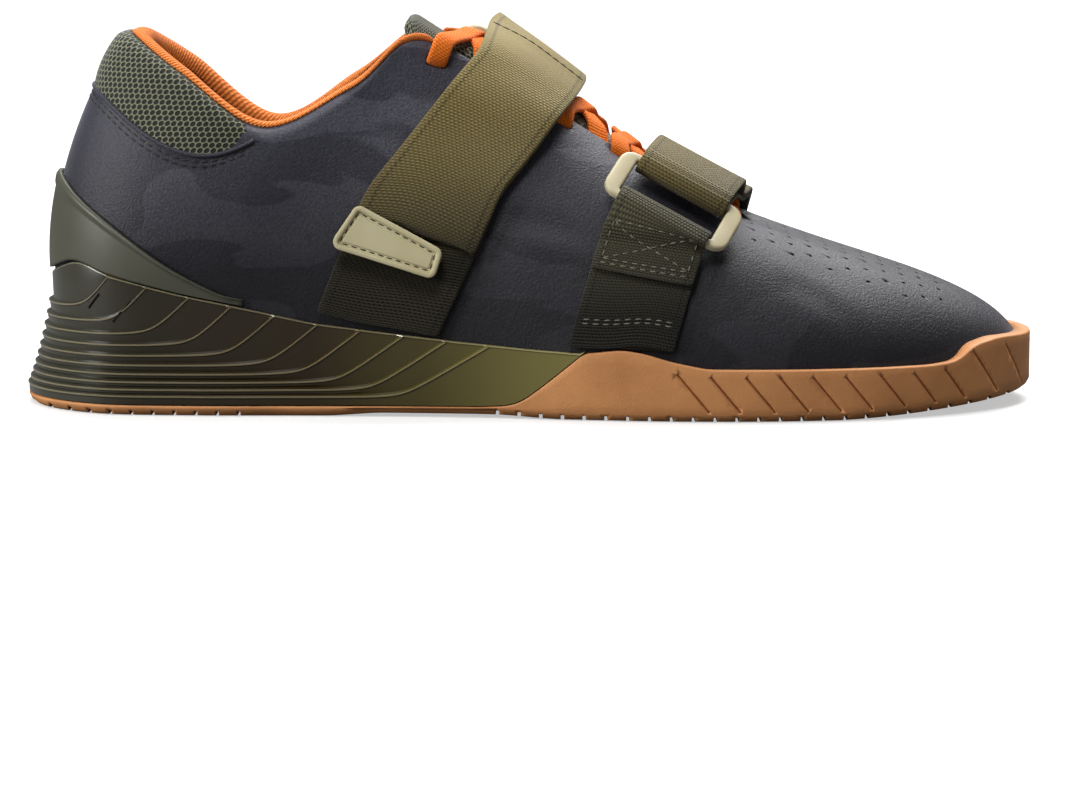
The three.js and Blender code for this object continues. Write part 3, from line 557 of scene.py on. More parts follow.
for lampName, place, size, power in studio["lamps"]:
    lamp = bpy.data.objects.new(lampName, bpy.data.lights.new(lampName, "AREA"))
    lamp.data.energy = power
    lamp.data.size = size
    lamp.location = place
    lamp.rotation_euler = (Vector((0, 0, 0.05)) - Vector(place)).to_track_quat("-Z", "Y").to_euler()
    bpy.context.scene.collection.objects.link(lamp)
floorMesh = bmesh.new()
bmesh.ops.create_grid(floorMesh, x_segments=1, y_segments=1, size=6)
floor = finishMesh(floorMesh, "floor", outFrom=lambda co: Vector((0, 0, 1)))

print("stage: shader groups and materials")


def buildGrain():
    # fine cloudy grain: a height for bump and a slow mask for colour
    tree, given, out = newGroup("fineGrain", [
        ("Coordinates", "Vector", None), ("Scale", "Float", 900.0), ("Cloud scale", "Float", 30.0),
    ], [("Height", "Float"), ("Cloud", "Float")])
    fine = addNode(tree, "TexNoise", Detail=4.0, Roughness=0.6)
    cloud = addNode(tree, "TexNoise", Detail=3.0, Roughness=0.5)
    for texture, scale in ((fine, "Scale"), (cloud, "Cloud scale")):
        tree.links.new(given.outputs["Coordinates"], texture.inputs["Vector"])
        tree.links.new(given.outputs[scale], texture.inputs["Scale"])
    tree.links.new(fine.outputs["Fac"], out.inputs["Height"])
    tree.links.new(cloud.outputs["Fac"], out.inputs["Cloud"])
    return tree


def buildHexMesh():
    # rows of six-sided holes on a UV map in millimetres
    tree, given, out = newGroup("holeMesh", [
        ("UV", "Vector", None), ("Pitch", "Float", 2.6), ("Thread", "Float", 0.34),
    ], [("Hole", "Float"), ("Height", "Float")])
    split = addNode(tree, "SeparateXYZ")
    tree.links.new(given.outputs["UV"], split.inputs[0])
    wideToHigh = 1.732  # one cell of the pattern holds two holes, at its corners and its middle

    def calc(*terms):
        return addMath(tree, *terms)
    distances = []
    for shift in (0.0, 0.5):
        x = calc("DIVIDE", split.outputs[0], given.outputs["Pitch"])
        y = calc("DIVIDE", calc("DIVIDE", split.outputs[1], given.outputs["Pitch"]), wideToHigh)
        x = calc("SUBTRACT", calc("FRACT", calc("ADD", x, shift)), 0.5)
        y = calc("SUBTRACT", calc("FRACT", calc("ADD", y, shift)), 0.5)
        y = calc("MULTIPLY", y, wideToHigh)
        distances.append(calc("SQRT", calc("ADD", calc("MULTIPLY", x, x), calc("MULTIPLY", y, y))))
    ramp = addNode(tree, "MapRange", clamp=True)
    tree.links.new(calc("MINIMUM", *distances), ramp.inputs["Value"])
    inner = calc("SUBTRACT", 0.5, given.outputs["Thread"])
    tree.links.new(inner, ramp.inputs["From Min"])
    tree.links.new(calc("ADD", inner, 0.14), ramp.inputs["From Max"])
    tree.links.new(calc("SUBTRACT", 1.0, ramp.outputs[0]), out.inputs["Hole"])
    tree.links.new(ramp.outputs[0], out.inputs["Height"])
    return tree


def buildWeave():
    # ribs across a band and threads along it, on a UV map in millimetres
    tree, given, out = newGroup("bandWeave", [
        ("UV", "Vector", None), ("Rib pitch", "Float", 0.9), ("Thread pitch", "Float", 0.7),
        ("Slant", "Float", 0.0),
    ], [("Height", "Float"), ("Rib", "Float"), ("Edge", "Float")])
    split = addNode(tree, "SeparateXYZ")
    tree.links.new(given.outputs["UV"], split.inputs[0])

    def calc(*terms):
        return addMath(tree, *terms)
    slanted = calc("ADD", split.outputs[0], calc("MULTIPLY", split.outputs[1], given.outputs["Slant"]))
    x = calc("DIVIDE", slanted, given.outputs["Rib pitch"])
    y = calc("DIVIDE", split.outputs[1], given.outputs["Thread pitch"])
    offset = calc("MULTIPLY", calc("ROUND", x), 0.5)  # the threads of every other rib are set off
    rib = calc("SINE", calc("MULTIPLY", x, 2 * math.pi))
    thread = calc("SINE", calc("MULTIPLY", calc("ADD", y, offset), 2 * math.pi))
    mixed = calc("ADD", calc("MULTIPLY", rib, 0.32), calc("MULTIPLY", thread, 0.18))
    tree.links.new(calc("ADD", mixed, 0.5), out.inputs["Height"])
    tree.links.new(calc("ADD", calc("MULTIPLY", rib, 0.5), 0.5), out.inputs["Rib"])
    # a dark zigzag line near both sides of a face: webbing has 88 of its UV map round it, 44 to a face
    wave = calc("MULTIPLY", calc("SINE", calc("MULTIPLY", split.outputs[0], 4.2)), 0.006)
    share = calc("ADD", calc("FRACT", calc("DIVIDE", split.outputs[1], 44.0)), wave)
    lines = [addBand(tree, share, place, 0.007) for place in (0.034, 0.666)]
    tree.links.new(calc("SUBTRACT", 0.75, calc("MAXIMUM", *lines)), out.inputs["Edge"])
    return tree


grainGroup = buildGrain()
hexGroup = buildHexMesh()
weaveGroup = buildWeave()


def newMaterial(name, color, roughness, **more):
    material = bpy.data.materials.new(name)
    material.use_nodes = True
    tree = material.node_tree
    shader = tree.nodes["Principled BSDF"]
    shader.inputs["Base Color"].default_value = (*color, 1)
    shader.inputs["Roughness"].default_value = roughness
    for key, value in more.items():
        shader.inputs[key.replace("_", " ")].default_value = value
    return material, tree, shader


def useGroup(tree, group, source, **values):
    made = tree.nodes.new("ShaderNodeGroup")
    made.node_tree = group
    coordinates = tree.nodes.new("ShaderNodeTexCoord")
    tree.links.new(coordinates.outputs[source], made.inputs[0])
    for key, value in values.items():
        made.inputs[key.replace("_", " ")].default_value = value
    return made


def addBump(tree, shader, height, strength, distance):
    bump = addNode(tree, "Bump")
    bump.inputs["Strength"].default_value = strength
    bump.inputs["Distance"].default_value = distance * mm
    tree.links.new(height, bump.inputs["Height"])
    before = shader.inputs["Normal"].links
    if before:
        tree.links.new(before[0].from_socket, bump.inputs["Normal"])
    tree.links.new(bump.outputs[0], shader.inputs["Normal"])


def twoColors(tree, shader, mask, low, high, start, end):
    ramp = addNode(tree, "ValToRGB")
    for stop, position, color in zip(ramp.color_ramp.elements, (start, end), (low, high)):
        stop.position = position
        stop.color = (*color, 1)
    tree.links.new(mask, ramp.inputs["Fac"])
    tree.links.new(ramp.outputs["Color"], shader.inputs["Base Color"])


def paintShadeByHeight(tree, shader, low, high, least, most, grain=None):
    # painted light and shade: the colour times a factor that grows with the height over the floor, so low
    # parts get painted shade and high parts painted light, and a little with the grain
    height = addNode(tree, "SeparateXYZ")
    tree.links.new(tree.nodes.new("ShaderNodeTexCoord").outputs["Object"], height.inputs[0])
    strength = addRange(tree, height.outputs[2], least, most, low * mm, high * mm)
    if grain:
        strength = addMath(tree, "MULTIPLY", strength, addRange(tree, grain, 0.72, 1.3, 0.35, 0.65))
    scaled = addNode(tree, "VectorMath", operation="SCALE")
    tree.links.new(shader.inputs["Base Color"].links[0].from_socket, scaled.inputs[0])
    tree.links.new(strength, scaled.inputs["Scale"])
    tree.links.new(scaled.outputs[0], shader.inputs["Base Color"])


def grained(name, color, roughness, scales, colors, bump, mask="Cloud", **more):
    # a material of fine grain: its scales, two colours with their limits, and the bump's strength and depth
    material, tree, shader = newMaterial(name, color, roughness, **more)
    grain = useGroup(tree, grainGroup, "Object", Scale=scales[0], Cloud_scale=scales[1])
    if colors:
        twoColors(tree, shader, grain.outputs[mask], *colors)
    addBump(tree, shader, grain.outputs["Height"], *bump)
    return material


def woven(name, color, roughness, pitches, colors, bump, mask="Height", paintedShade=None, **more):
    # a material of ribs and threads: rib pitch, thread pitch and slant, then as above, with painted shade and
    # light by height where given
    material, tree, shader = newMaterial(name, color, roughness, **more)
    weave = useGroup(tree, weaveGroup, "UV", Rib_pitch=pitches[0], Thread_pitch=pitches[1], Slant=pitches[2])
    twoColors(tree, shader, weave.outputs[mask], *colors)
    if paintedShade:
        paintShadeByHeight(tree, shader, *paintedShade, weave.outputs["Edge"])
    addBump(tree, shader, weave.outputs["Height"], *bump)
    return material


floorMaterial, tree, shader = newMaterial("paleFloor", (0.6, 0.6, 0.6), 0.8)
shader.inputs["Emission Color"].default_value = (1, 1, 1, 1)
seen = tree.nodes.new("ShaderNodeLightPath").outputs["Is Camera Ray"]  # white to the eye, dark as a reflector
tree.links.new(addRange(tree, seen, 0, studio["floorGlow"]), shader.inputs["Emission Strength"])
tree.links.new(addRange(tree, seen, studio["bounce"], studio["floor"]), shader.inputs["Base Color"])
floor.data.materials.append(floorMaterial)

gumRubber = grained(
    "gumRubber", (0.48, 0.20, 0.07), 0.62, (1500.0, 60.0),
    ((0.56, 0.235, 0.080), (0.72, 0.320, 0.115), 0.3, 0.7), (0.5, 0.25))

# Wedge: semi-gloss moulded plastic, grey-olive at the back, bronze in the middle, olive in front, with a
# painted highlight along each rib's lip and along the rim
wedgeFinish = {
    "backX": -151, "frontX": 18, "rowsPerRib": 6.0, "lipAt": 0.75, "lipHalf": 0.14,
    "rimRow": 62.9, "rimHalf": 0.9, "paintedHighlight": (0.17, 0.145, 0.085, 1),
    "stops": [
        (0.0, (0.060, 0.060, 0.044)), (0.22, (0.024, 0.019, 0.009)), (0.52, (0.028, 0.017, 0.003)),
        (0.72, (0.080, 0.064, 0.014)), (1.0, (0.24, 0.21, 0.06)),
    ],
}
wedgePlastic, tree, shader = newMaterial(
    "wedgePlastic", (0.06, 0.045, 0.015), 0.3, Coat_Weight=0.3, Coat_Roughness=0.18)
coordinates = tree.nodes.new("ShaderNodeTexCoord")
split = addNode(tree, "SeparateXYZ")
tree.links.new(coordinates.outputs["Object"], split.inputs[0])
shades = addNode(tree, "ValToRGB")
for i, (place, color) in enumerate(wedgeFinish["stops"]):
    stop = shades.color_ramp.elements[i] if i < 2 else shades.color_ramp.elements.new(place)
    stop.position = place
    stop.color = (*color, 1)
position = addRange(tree, split.outputs[0], 0, 1, wedgeFinish["backX"] * mm, wedgeFinish["frontX"] * mm)
tree.links.new(position, shades.inputs["Fac"])
rowSplit = addNode(tree, "SeparateXYZ")  # each rib's section takes six rows of the UV map, its lip among them
tree.links.new(coordinates.outputs["UV"], rowSplit.inputs[0])
ribShare = addMath(tree, "FRACT", addMath(tree, "DIVIDE", rowSplit.outputs[1], wedgeFinish["rowsPerRib"]))
onLip = addBand(tree, ribShare, wedgeFinish["lipAt"], wedgeFinish["lipHalf"])
onRim = addBand(tree, rowSplit.outputs[1], wedgeFinish["rimRow"], wedgeFinish["rimHalf"])
# painted highlight: a light colour added on each rib's lip and on the rim, standing in for the glint on their
# rounded edges
lighter = addNode(tree, "Mix", data_type="RGBA", blend_type="ADD")
tree.links.new(addMath(tree, "MAXIMUM", onLip, onRim), lighter.inputs[0])
tree.links.new(shades.outputs["Color"], lighter.inputs[6])
lighter.inputs[7].default_value = wedgeFinish["paintedHighlight"]
tree.links.new(lighter.outputs[2], shader.inputs["Base Color"])
grain = useGroup(tree, grainGroup, "Object", Scale=2200.0, Cloud_scale=80.0)
addBump(tree, shader, grain.outputs["Height"], 0.12, 0.06)

counterPlastic = grained(
    "counterPlastic", (0.075, 0.076, 0.052), 0.42, (2000.0, 40.0),
    ((0.066, 0.067, 0.046), (0.088, 0.088, 0.062), 0.3, 0.7), (0.2, 0.08))

# Coated cloth: dark, fine pebbled grain, tone on tone blots, with painted light high up and painted shade low
# down
coatedCloth, tree, shader = newMaterial(
    "coatedCloth", (0.03, 0.03, 0.038), 0.46, Sheen_Weight=0.3, Sheen_Roughness=0.35,
    Sheen_Tint=(0.80, 0.78, 0.90, 1), Specular_IOR_Level=0.35)
grain = useGroup(tree, grainGroup, "Object", Scale=1400.0, Cloud_scale=24.0)
blotShape = addNode(tree, "Mapping")
tree.links.new(grain.inputs[0].links[0].from_socket, blotShape.inputs["Vector"])
blotShape.inputs["Scale"].default_value = (0.75, 1.0, 1.5)
blots = addNode(tree, "TexNoise", Scale=30.0, Detail=2.5, Roughness=0.45, Distortion=0.6)
tree.links.new(blotShape.outputs[0], blots.inputs["Vector"])
twoColors(tree, shader, blots.outputs["Fac"], (0.015, 0.015, 0.021), (0.027, 0.027, 0.035), 0.555, 0.575)
# painted light and shade: the colour 0.7 times at 42 mm rising to 3.3 times at 104 mm, lighter high up where
# sheen falls, darker low down
paintShadeByHeight(tree, shader, 42, 104, 0.7, 3.3, grain.outputs["Height"])
addBump(tree, shader, grain.outputs["Height"], 0.8, 0.3)

darkLining = grained("darkLining", (0.02, 0.02, 0.022), 0.9, (1200.0, 50.0), None, (0.4, 0.3))

# Collar and tongue mesh: olive threads round dark holes
openMesh, tree, shader = newMaterial("openMesh", (0.12, 0.125, 0.06), 0.85, Sheen_Weight=0.2)
holes = useGroup(tree, hexGroup, "UV", Pitch=1.85, Thread=0.17)
twoColors(tree, shader, holes.outputs["Hole"], (0.27, 0.28, 0.17), (0.010, 0.011, 0.006), 0.12, 0.62)
addBump(tree, shader, holes.outputs["Height"], 1.0, 0.6)

# Orange knit of the binding, the laces' flat weave, the straps' ribbed webbing with a soft sheen and painted
# shade low down, painted light high up
orangeKnit = woven(
    "orangeKnit", (0.85, 0.17, 0.03), 0.85, (1.2, 1.4, 0.6),
    ((0.70, 0.12, 0.014), (1.0, 0.36, 0.08), 0.1, 0.9), (0.7, 0.4), mask="Rib",
    Sheen_Weight=0.1, Specular_IOR_Level=0.2)
orangeLace = woven(
    "orangeLace", (1.0, 0.15, 0.013), 0.8, (0.9, 1.0, 0.35),
    ((0.85, 0.10, 0.004), (1.0, 0.30, 0.025), 0.15, 0.85), (0.7, 0.3),
    Sheen_Weight=0.1, Specular_IOR_Level=0.2)
# painted shade and light: the webbing's colour 0.07 times at 46 mm rising to 1.5 times at 108 mm, darker low
# down, lighter on the crest
strapWebbing = woven(
    "strapWebbing", (0.15, 0.115, 0.042), 0.55, (0.85, 1.3, 0.0),
    ((0.105, 0.078, 0.024), (0.250, 0.195, 0.072), 0.2, 0.8), (0.8, 0.35), paintedShade=(46, 108, 0.07, 1.5),
    Sheen_Weight=0.12, Specular_IOR_Level=0.2)

# Beige plastic of the rings, beige rubber of the badges
beigePlastic = grained(
    "beigePlastic", (0.60, 0.53, 0.33), 0.34, (1500.0, 90.0),
    ((0.56, 0.49, 0.30), (0.64, 0.57, 0.37), 0.3, 0.7), (0.1, 0.05))
beigeRubber = grained(
    "beigeRubber", (0.55, 0.49, 0.29), 0.55, (1700.0, 60.0),
    ((0.50, 0.44, 0.25), (0.60, 0.54, 0.33), 0.3, 0.7), (0.25, 0.1))

# Darker webbing of the loops with painted shade low down, knit of the lower tongue, napped cloth of the
# insole, stitching threads
# painted shade: the loops' colour 0.1 times at 30 mm rising to 1.25 times at 75 mm, darker low down
darkWebbing = woven(
    "darkWebbing", (0.03, 0.03, 0.022), 0.55, (0.85, 1.1, 0.0),
    ((0.034, 0.031, 0.018), (0.095, 0.086, 0.045), 0.2, 0.8), (0.8, 0.35), paintedShade=(30, 75, 0.1, 1.25),
    Sheen_Weight=0.1, Specular_IOR_Level=0.2)
tongueKnit = woven(
    "tongueKnit", (0.16, 0.13, 0.08), 0.9, (1.3, 1.5, 0.5),
    ((0.07, 0.055, 0.035), (0.24, 0.19, 0.12), 0.2, 0.8), (0.8, 0.4), Sheen_Weight=0.3)
nappedCloth = grained(
    "nappedCloth", (0.022, 0.022, 0.026), 0.95, (900.0, 70.0),
    ((0.012, 0.012, 0.015), (0.042, 0.042, 0.050), 0.3, 0.7), (0.8, 0.5), mask="Height", Sheen_Weight=0.5)
paleThread = grained("paleThread", (0.20, 0.19, 0.14), 0.8, (2500.0, 300.0), None, (0.6, 0.1))
darkThread = grained("darkThread", (0.03, 0.028, 0.02), 0.8, (2500.0, 300.0), None, (0.6, 0.1))

print("stage: outsole")
outsoleForm = {
    "columns": 468, "lip": 0.5, "innerLedge": 7,
    "grooveWidth": 1.0, "grooveDepth": 1.6, "groovePitch": 6.3, "grooveCount": 48, "grooveStart": -0.49,
    "heelFlat": -0.28, "ballFlat": -0.05, "grooveEnd": 0.47,
    "sipeWidth": 0.6, "sipeDepth": 0.8, "sipePitch": 9.7, "sipeStart": 0.645, "sipeLean": 40, "sipeCount": 12,
}


def cupLine(s, height):
    # inner edge of the sole's rim: just outside the upper
    t = reachOfHeight(s, height)
    return skinAt(s, t, shoe["clearance"])


def makeOutsole():
    form = outsoleForm
    rows = 14

    def pointAt(row, s):
        edge, out = soleEdgeAt(s)
        spring = springHeight(edge.x)
        rim = rimHeight(edge.x)
        top = min(gumHeight(edge.x), rim)
        heel = gumHeight(edge.x) < rim
        bottom = spring + shoe["soleEdge"] * 0.35
        if row == 0:
            inset, z = shoe["soleEdge"], spring
        elif row == 1:
            inset, z = shoe["soleEdge"] * 0.55, spring + 0.25
        elif row == 2:
            inset, z = shoe["soleEdge"] * 0.2, bottom
        elif row <= 9:
            foot = min(spring + shoe["gumThickness"] * 0.75, top)
            inset, z = 0, mix(foot, top - form["lip"], (row - 3) / 6)
        elif row == 10:
            inset, z = form["lip"] * 0.3, top - form["lip"] * 0.3
        elif row == 11:
            inset, z = form["lip"], top
        elif heel:
            inset, z = form["innerLedge"], top
        else:
            line = cupLine(s, top)
            if row == 12:
                return Vector((line.x, line.y, top))
            floorEdge = skinAt(s, 0, shoe["clearance"])
            return Vector((floorEdge.x, floorEdge.y, footbedHeight(edge.x)))
        place, out = soleEdgeAt(s, inset)
        return Vector((place.x, place.y, z))
    return closedForm("outsole_gum", rows, form["columns"], 0, stationCount, pointAt, (760, 40))


outsole = makeOutsole()
cutters = bmesh.new()
form = outsoleForm
for k in range(form["grooveCount"]):  # cross grooves on the heel's flat and from the ball to the toe
    x = form["grooveStart"] * length + form["groovePitch"] * k
    onFlat = x < form["heelFlat"] * length or x > form["ballFlat"] * length
    if onFlat and x < form["grooveEnd"] * length:
        high = 2 * (springHeight(x) + form["grooveDepth"])
        addBox(cutters, Vector((x, 0, 0)), (form["grooveWidth"], 200, high))
for side in (0, 1):  # slanted sipes in the side wall, one fewer on the inner side
    for k in range(form["sipeCount"] - side):
        x = length * form["sipeStart"] + form["sipePitch"] * k - length / 2
        s = 5.5
        while s > 0.2 and soleEdgeAt(s)[0].x < x + 3:
            s -= 0.02
        if side:
            s = stationCount - s
        edge, out = soleEdgeAt(s)
        low = springHeight(edge.x) + shoe["gumThickness"] - 0.2
        high = rimHeight(edge.x) - 2.0
        turn = Matrix.Rotation(math.atan2(out.y, out.x), 4, "Z")
        lean = Matrix.Rotation(math.radians(-form["sipeLean"] if side else form["sipeLean"]), 4, "X")
        size = (2 * form["sipeDepth"], form["sipeWidth"], (high - low) * 1.3)
        addBox(cutters, Vector((edge.x, edge.y, (low + high) / 2)), size, turn, lean)
cutWith(outsole, finishMesh(cutters, "treadCutter", smooth=False))
keep(outsole, gumRubber, "outsole", "outsole")

print("stage: heel wedge")
wedgeForm = {
    "columns": 420, "front": 5.98, "lip": 0.32, "groove": 0.35, "gap": 0.3, "rimLip": 0.5,
    "slashes": [(-132.6, 30.5, -128.2, 35), (-123, 27, -117, 33.2)], "slashWidth": 0.7,
}


@lru_cache(maxsize=None)
def wedgeSection(s):
    # heights and insets up one column of the wedge: a lip above each rib, then a step inwards
    form = wedgeForm
    edge, out = soleEdgeAt(s)
    flare = flareAt(out)
    count = shoe["ribCount"]
    base = gumHeight(edge.x) + form["gap"]
    rim = rimHeight(edge.x - out.x * flare * (1 - ribsPassed(edge.x) / count))
    section = [(-10.0, 0.0)]
    for k in range(count - 1, -1, -1):
        line = ribHeight(k, edge.x)
        under, over = flare * (1 - (k + 1) / count), flare * (1 - k / count)
        section += [
            (line - 1.3, under), (line - 0.85, under), (line - 0.5, under - form["lip"]),
            (line - 0.15, under - form["lip"]), (line + 0.1, under + 0.2),
            (line + 0.45, over + form["groove"]),
        ]
    return edge, base, rim, section


def insetAt(section, z):
    for (lowZ, lowIn), (highZ, highIn) in zip(section, section[1:]):
        if z < highZ:
            return mix(lowIn, highIn, max(0, z - lowZ) / (highZ - lowZ))
    return section[-1][1]


def wedgeSurface(s, z):
    place, out = soleEdgeAt(s, insetAt(wedgeSection(s)[3], z))
    return Vector((place.x, place.y, z)), out


def makeWedge():
    form = wedgeForm
    ribRows = 6 * shoe["ribCount"]

    def pointAt(row, s):
        edge, base, rim, section = wedgeSection(s)
        if row <= ribRows:
            z = max(base, min(section[row][0], rim - form["rimLip"]))
            return wedgeSurface(s, z)[0]
        part = row - ribRows - 1
        rimInset = insetAt(section, rim - form["rimLip"])
        if part >= 3:
            inner = cupLine(s, rim) if part == 3 else skinAt(s, 0, shoe["clearance"])
            drop = rim - 0.15 if part == 3 else min(rim, footbedHeight(edge.x))
            return Vector((inner.x, inner.y, max(drop, base)))
        inset, drop = [(-0.8 * form["lip"], 0.35), (-0.5 * form["lip"], 0.05), (0.35, 0)][part]
        place, out = soleEdgeAt(s, rimInset + inset)
        return Vector((place.x, place.y, max(rim - drop, base)))
    rows = ribRows + 6
    return closedForm("wedge_shell", rows, form["columns"], form["front"],
                      stationCount - form["front"], pointAt, (420, rows + 1), merge=6e-5)


def stationNear(x, side):
    # the station on the outer (-1) or inner (1) side whose sole edge lies at a given X
    s = firstStation(0.2, heelStation, lambda value: soleEdgeAt(value)[0].x < x)
    return s if side < 0 else stationCount - s


def addSlash(bm, side, start, end, width, depth):
    # a thin box along a line on the wedge's side, given as X and height of both ends
    ends = []
    for x, z in (start, end):
        place, out = wedgeSurface(stationNear(x, side), z)
        ends.append(place)
    ahead = (ends[1] - ends[0]).normalized()
    across = out.cross(ahead).normalized()
    turned = Matrix((ahead, across, ahead.cross(across))).transposed().to_4x4()
    addBox(bm, (ends[0] + ends[1]) / 2, ((ends[1] - ends[0]).length, width, 2 * depth), turned)


wedge = makeWedge()
slashes = bmesh.new()
for side in (-1, 1):
    for startX, startZ, endX, endZ in wedgeForm["slashes"]:
        addSlash(slashes, side, (startX, startZ), (endX, endZ), wedgeForm["slashWidth"], 0.8)
cutWith(wedge, finishMesh(slashes, "slashCutter", smooth=False))
keep(crisp(wedge, 24), wedgePlastic, "heel_wedge", "heel_wedge")

print("stage: upper")
upperForm = {
    "columns": 416, "outerRows": 46, "edgeRows": 6, "innerRows": 16, "pinhole": 0.5, "pinPitch": 6.4,
    "pinFrom": 66, "pinTo": 124, "pinReach": 27, "pinRow": 0.87, "pinColumns": 4, "pinLowest": 30,
    "uvSize": (720, 200),
}
# Creases seen from the side: the outer (-1) or inner (1) side, X and height of both ends, half width, depth
creases = [
    (-1, -14, 57, 18, 50, 3.2, 0.55), (-1, -8, 50, 22, 44, 3.0, -0.3), (-1, -112, 76, -84, 62, 3.5, 0.45),
    (-1, -96, 58, -62, 48, 4.0, 0.4), (-1, 70, 40, 94, 26, 3.2, 0.5), (-1, 78, 44, 104, 30, 3.4, 0.35),
    (-1, 22, 70, 34, 54, 3.0, 0.4), (-1, -56, 92, -38, 80, 4.0, 0.35),
    (1, -16, 58, 20, 48, 3.2, 0.55), (1, -104, 70, -76, 58, 3.6, 0.45), (1, 66, 42, 92, 27, 3.2, 0.5),
    (1, 76, 45, 104, 30, 3.4, 0.35), (1, 24, 68, 36, 52, 3.0, 0.4),
]


def creaseDepth(point):
    depth = 0.0
    for side, startX, startZ, endX, endZ, wide, deep in creases:
        if side * point.y < 0:
            continue
        span = Vector((endX - startX, endZ - startZ))
        away = Vector((point.x - startX, point.z - startZ))
        share = away.dot(span) / span.length_squared
        bow = 0.1 * span.length * (1 - (2 * min(1, max(0, share)) - 1) ** 2)
        distance = (away - span * min(1, max(0, share))).length if not 0 < share < 1 else abs(
            span.cross(away) / span.length - bow)
        fade = math.sin(math.pi * min(0.98, max(0.02, share)))
        depth += deep * fade * math.exp(-(distance / wide) ** 2)
    return depth


def makeUpper():
    form = upperForm
    rows = form["outerRows"] + form["edgeRows"] + form["innerRows"]
    innerLine = steps(1, 0.06, form["innerRows"] - 1) + [0]

    def inner(s, t):
        point = skinAt(s, t, -wallAt(s, t))
        if t == 0:
            point.z = skin(s, 0).z
        return point

    def pointAt(u, v):
        s = stationCount * u
        row = round(v * rows)
        if row <= form["outerRows"]:
            t = row / form["outerRows"]
            return skinAt(s, t, -creaseDepth(skin(s, t))) if 0 < row < form["outerRows"] else skin(s, t)
        if row < form["outerRows"] + form["edgeRows"]:
            turn = math.pi * (row - form["outerRows"]) / form["edgeRows"]
            outside = skin(s, 1)
            middle = outside.lerp(inner(s, 1), 0.5)
            rise = (outside - skin(s, 0.97)).normalized() * wallAt(s, 1) / 2
            return middle + (outside - middle) * math.cos(turn) + rise * math.sin(turn)
        if row == rows:
            return skin(s, 0)
        return inner(s, innerLine[row - form["outerRows"] - form["edgeRows"]])
    bm = bentGrid(form["columns"], rows, pointAt, form["uvSize"])
    uvMap = bm.loops.layers.uv.active
    for face in bm.faces:
        height = sum(loop[uvMap].uv.y for loop in face.loops) / len(face.loops) / form["uvSize"][1] * rows
        face.material_index = 1 if height > form["outerRows"] + form["edgeRows"] / 2 else 0
    return finishMesh(bm, "upper_shell")


upper = keep(makeUpper(), [coatedCloth, darkLining], "upper", "upper")

print("stage: collar pad")
padForm = {
    "columns": 260, "rows": 26, "puff": 1.5, "crest": 64, "sink": 0.25, "cord": 0.65,
    "endColumns": 26, "stitchGaps": (1.8, 3.3), "thread": (2.0, 0.9, 0.24),
}


def seamHeight(point):
    return shoe["collarHeight"] * smoothAlong(padRows, point.x, 6)


def edgeTurn(s, degrees, radius):
    # a point round the collar's rolled edge, from the outer face (0 degrees) to the inner (180)
    outside = skin(s, 1)
    middle = outside.lerp(skinAt(s, 1, -wallAt(s, 1)), 0.5)
    sideways = (outside - middle).normalized()
    rise = (outside - skin(s, 0.97)).normalized()
    turn = math.radians(degrees)
    return middle + (sideways * math.cos(turn) + rise * math.sin(turn)) * radius


def makeCollarPad():
    form = padForm
    start = firstStation(8.6, 11, lambda s: reachOfLine(s, seamHeight) < 0.985)
    stations = steps(start, stationCount - start, form["columns"])
    girth = [0.0]
    for a, b in zip(stations, stations[1:]):
        girth.append(girth[-1] + (skin(a, 0.85) - skin(b, 0.85)).length)
    lines = []
    for s in stations:
        seam = reachOfLine(s, seamHeight)
        side = (skin(s, 1) - skin(s, seam)).length
        crest = math.radians(form["crest"]) * wallAt(s, 1) / 2
        lines.append((seam, side, crest))

    def pointOf(column, v):
        s = stations[column]
        seam, side, crest = lines[column]
        last, fade = form["columns"], form["endColumns"]
        ends = ease(column, 0, fade) * (1 - ease(column, last - fade, last))
        lift = form["puff"] * ends * math.sin(math.pi * min(1, v)) ** 0.7 - form["sink"] * (1 - ends)
        travelled = v * (side + crest)
        if travelled <= side:
            return skinAt(s, mix(seam, 1, travelled / max(side, 0.01)), lift)
        radius = wallAt(s, 1) / 2
        return edgeTurn(s, math.degrees((travelled - side) / radius), radius + lift)

    def uvOf(column, v):
        seam, side, crest = lines[column]
        return girth[column], skin(stations[column], seam).z * 1.06 + v * (side + crest)
    bm = bentGrid(form["columns"], form["rows"], lambda u, v: pointOf(round(u * form["columns"]), v))
    uvMap = bm.loops.layers.uv.active
    for face in bm.faces:
        for loop in face.loops:
            share = loop[uvMap].uv.copy()
            loop[uvMap].uv = uvOf(round(share.x * form["columns"]), share.y)
    pad = finishMesh(bm, "collar_pad", outFrom=lambda co: co - Vector((-0.07, 0, co.z)))
    addSolidify(pad, 1.0)
    return pad, stations, lines


collarPad, padStations, padLines = makeCollarPad()
keep(collarPad, openMesh, "tongue")

seamPath = [skinAt(s, line[0], 0.25) for s, line in zip(padStations, padLines)]
keep(roundCord("collar_seam", seamPath, padForm["cord"]), coatedCloth, "upper")
collarStitches = bmesh.new()
for gap in padForm["stitchGaps"]:
    seamRow, looks = [], []
    for s, line in list(zip(padStations, padLines))[2:-2]:
        t = line[0] - gap / max(20, (skin(s, 1) - skin(s, 0)).length)
        seamRow.append(skinAt(s, t, 0.05))
        looks.append(skinNormal(s, t))
    stitchRow(collarStitches, seamRow, looks, *padForm["thread"])
keep(finishMesh(collarStitches, "collar_stitches"), darkThread, "upper")

print("stage: counter, binding, insole")
counterForm = {"columns": 150, "rows": 26, "wall": 1.2, "lip": 0.55, "lipShare": 0.9}


def closedStrip(name, columns, rows, outerAt, innerAt, uvSize):
    # a closed sheet: up its outer face, over the edge and down its inner face
    last = 2 * rows + 2

    def placeAt(u, v):
        row = round(v * last)
        if row <= rows:
            return outerAt(u, row / rows)
        if row < last:
            return innerAt(u, 1 - (row - rows - 1) / rows)
        return outerAt(u, 0)
    bm = bentGrid(columns, last, placeAt, (uvSize[0], uvSize[1] * last / rows))
    fillHoles(bm)
    return finishMesh(bm, name)


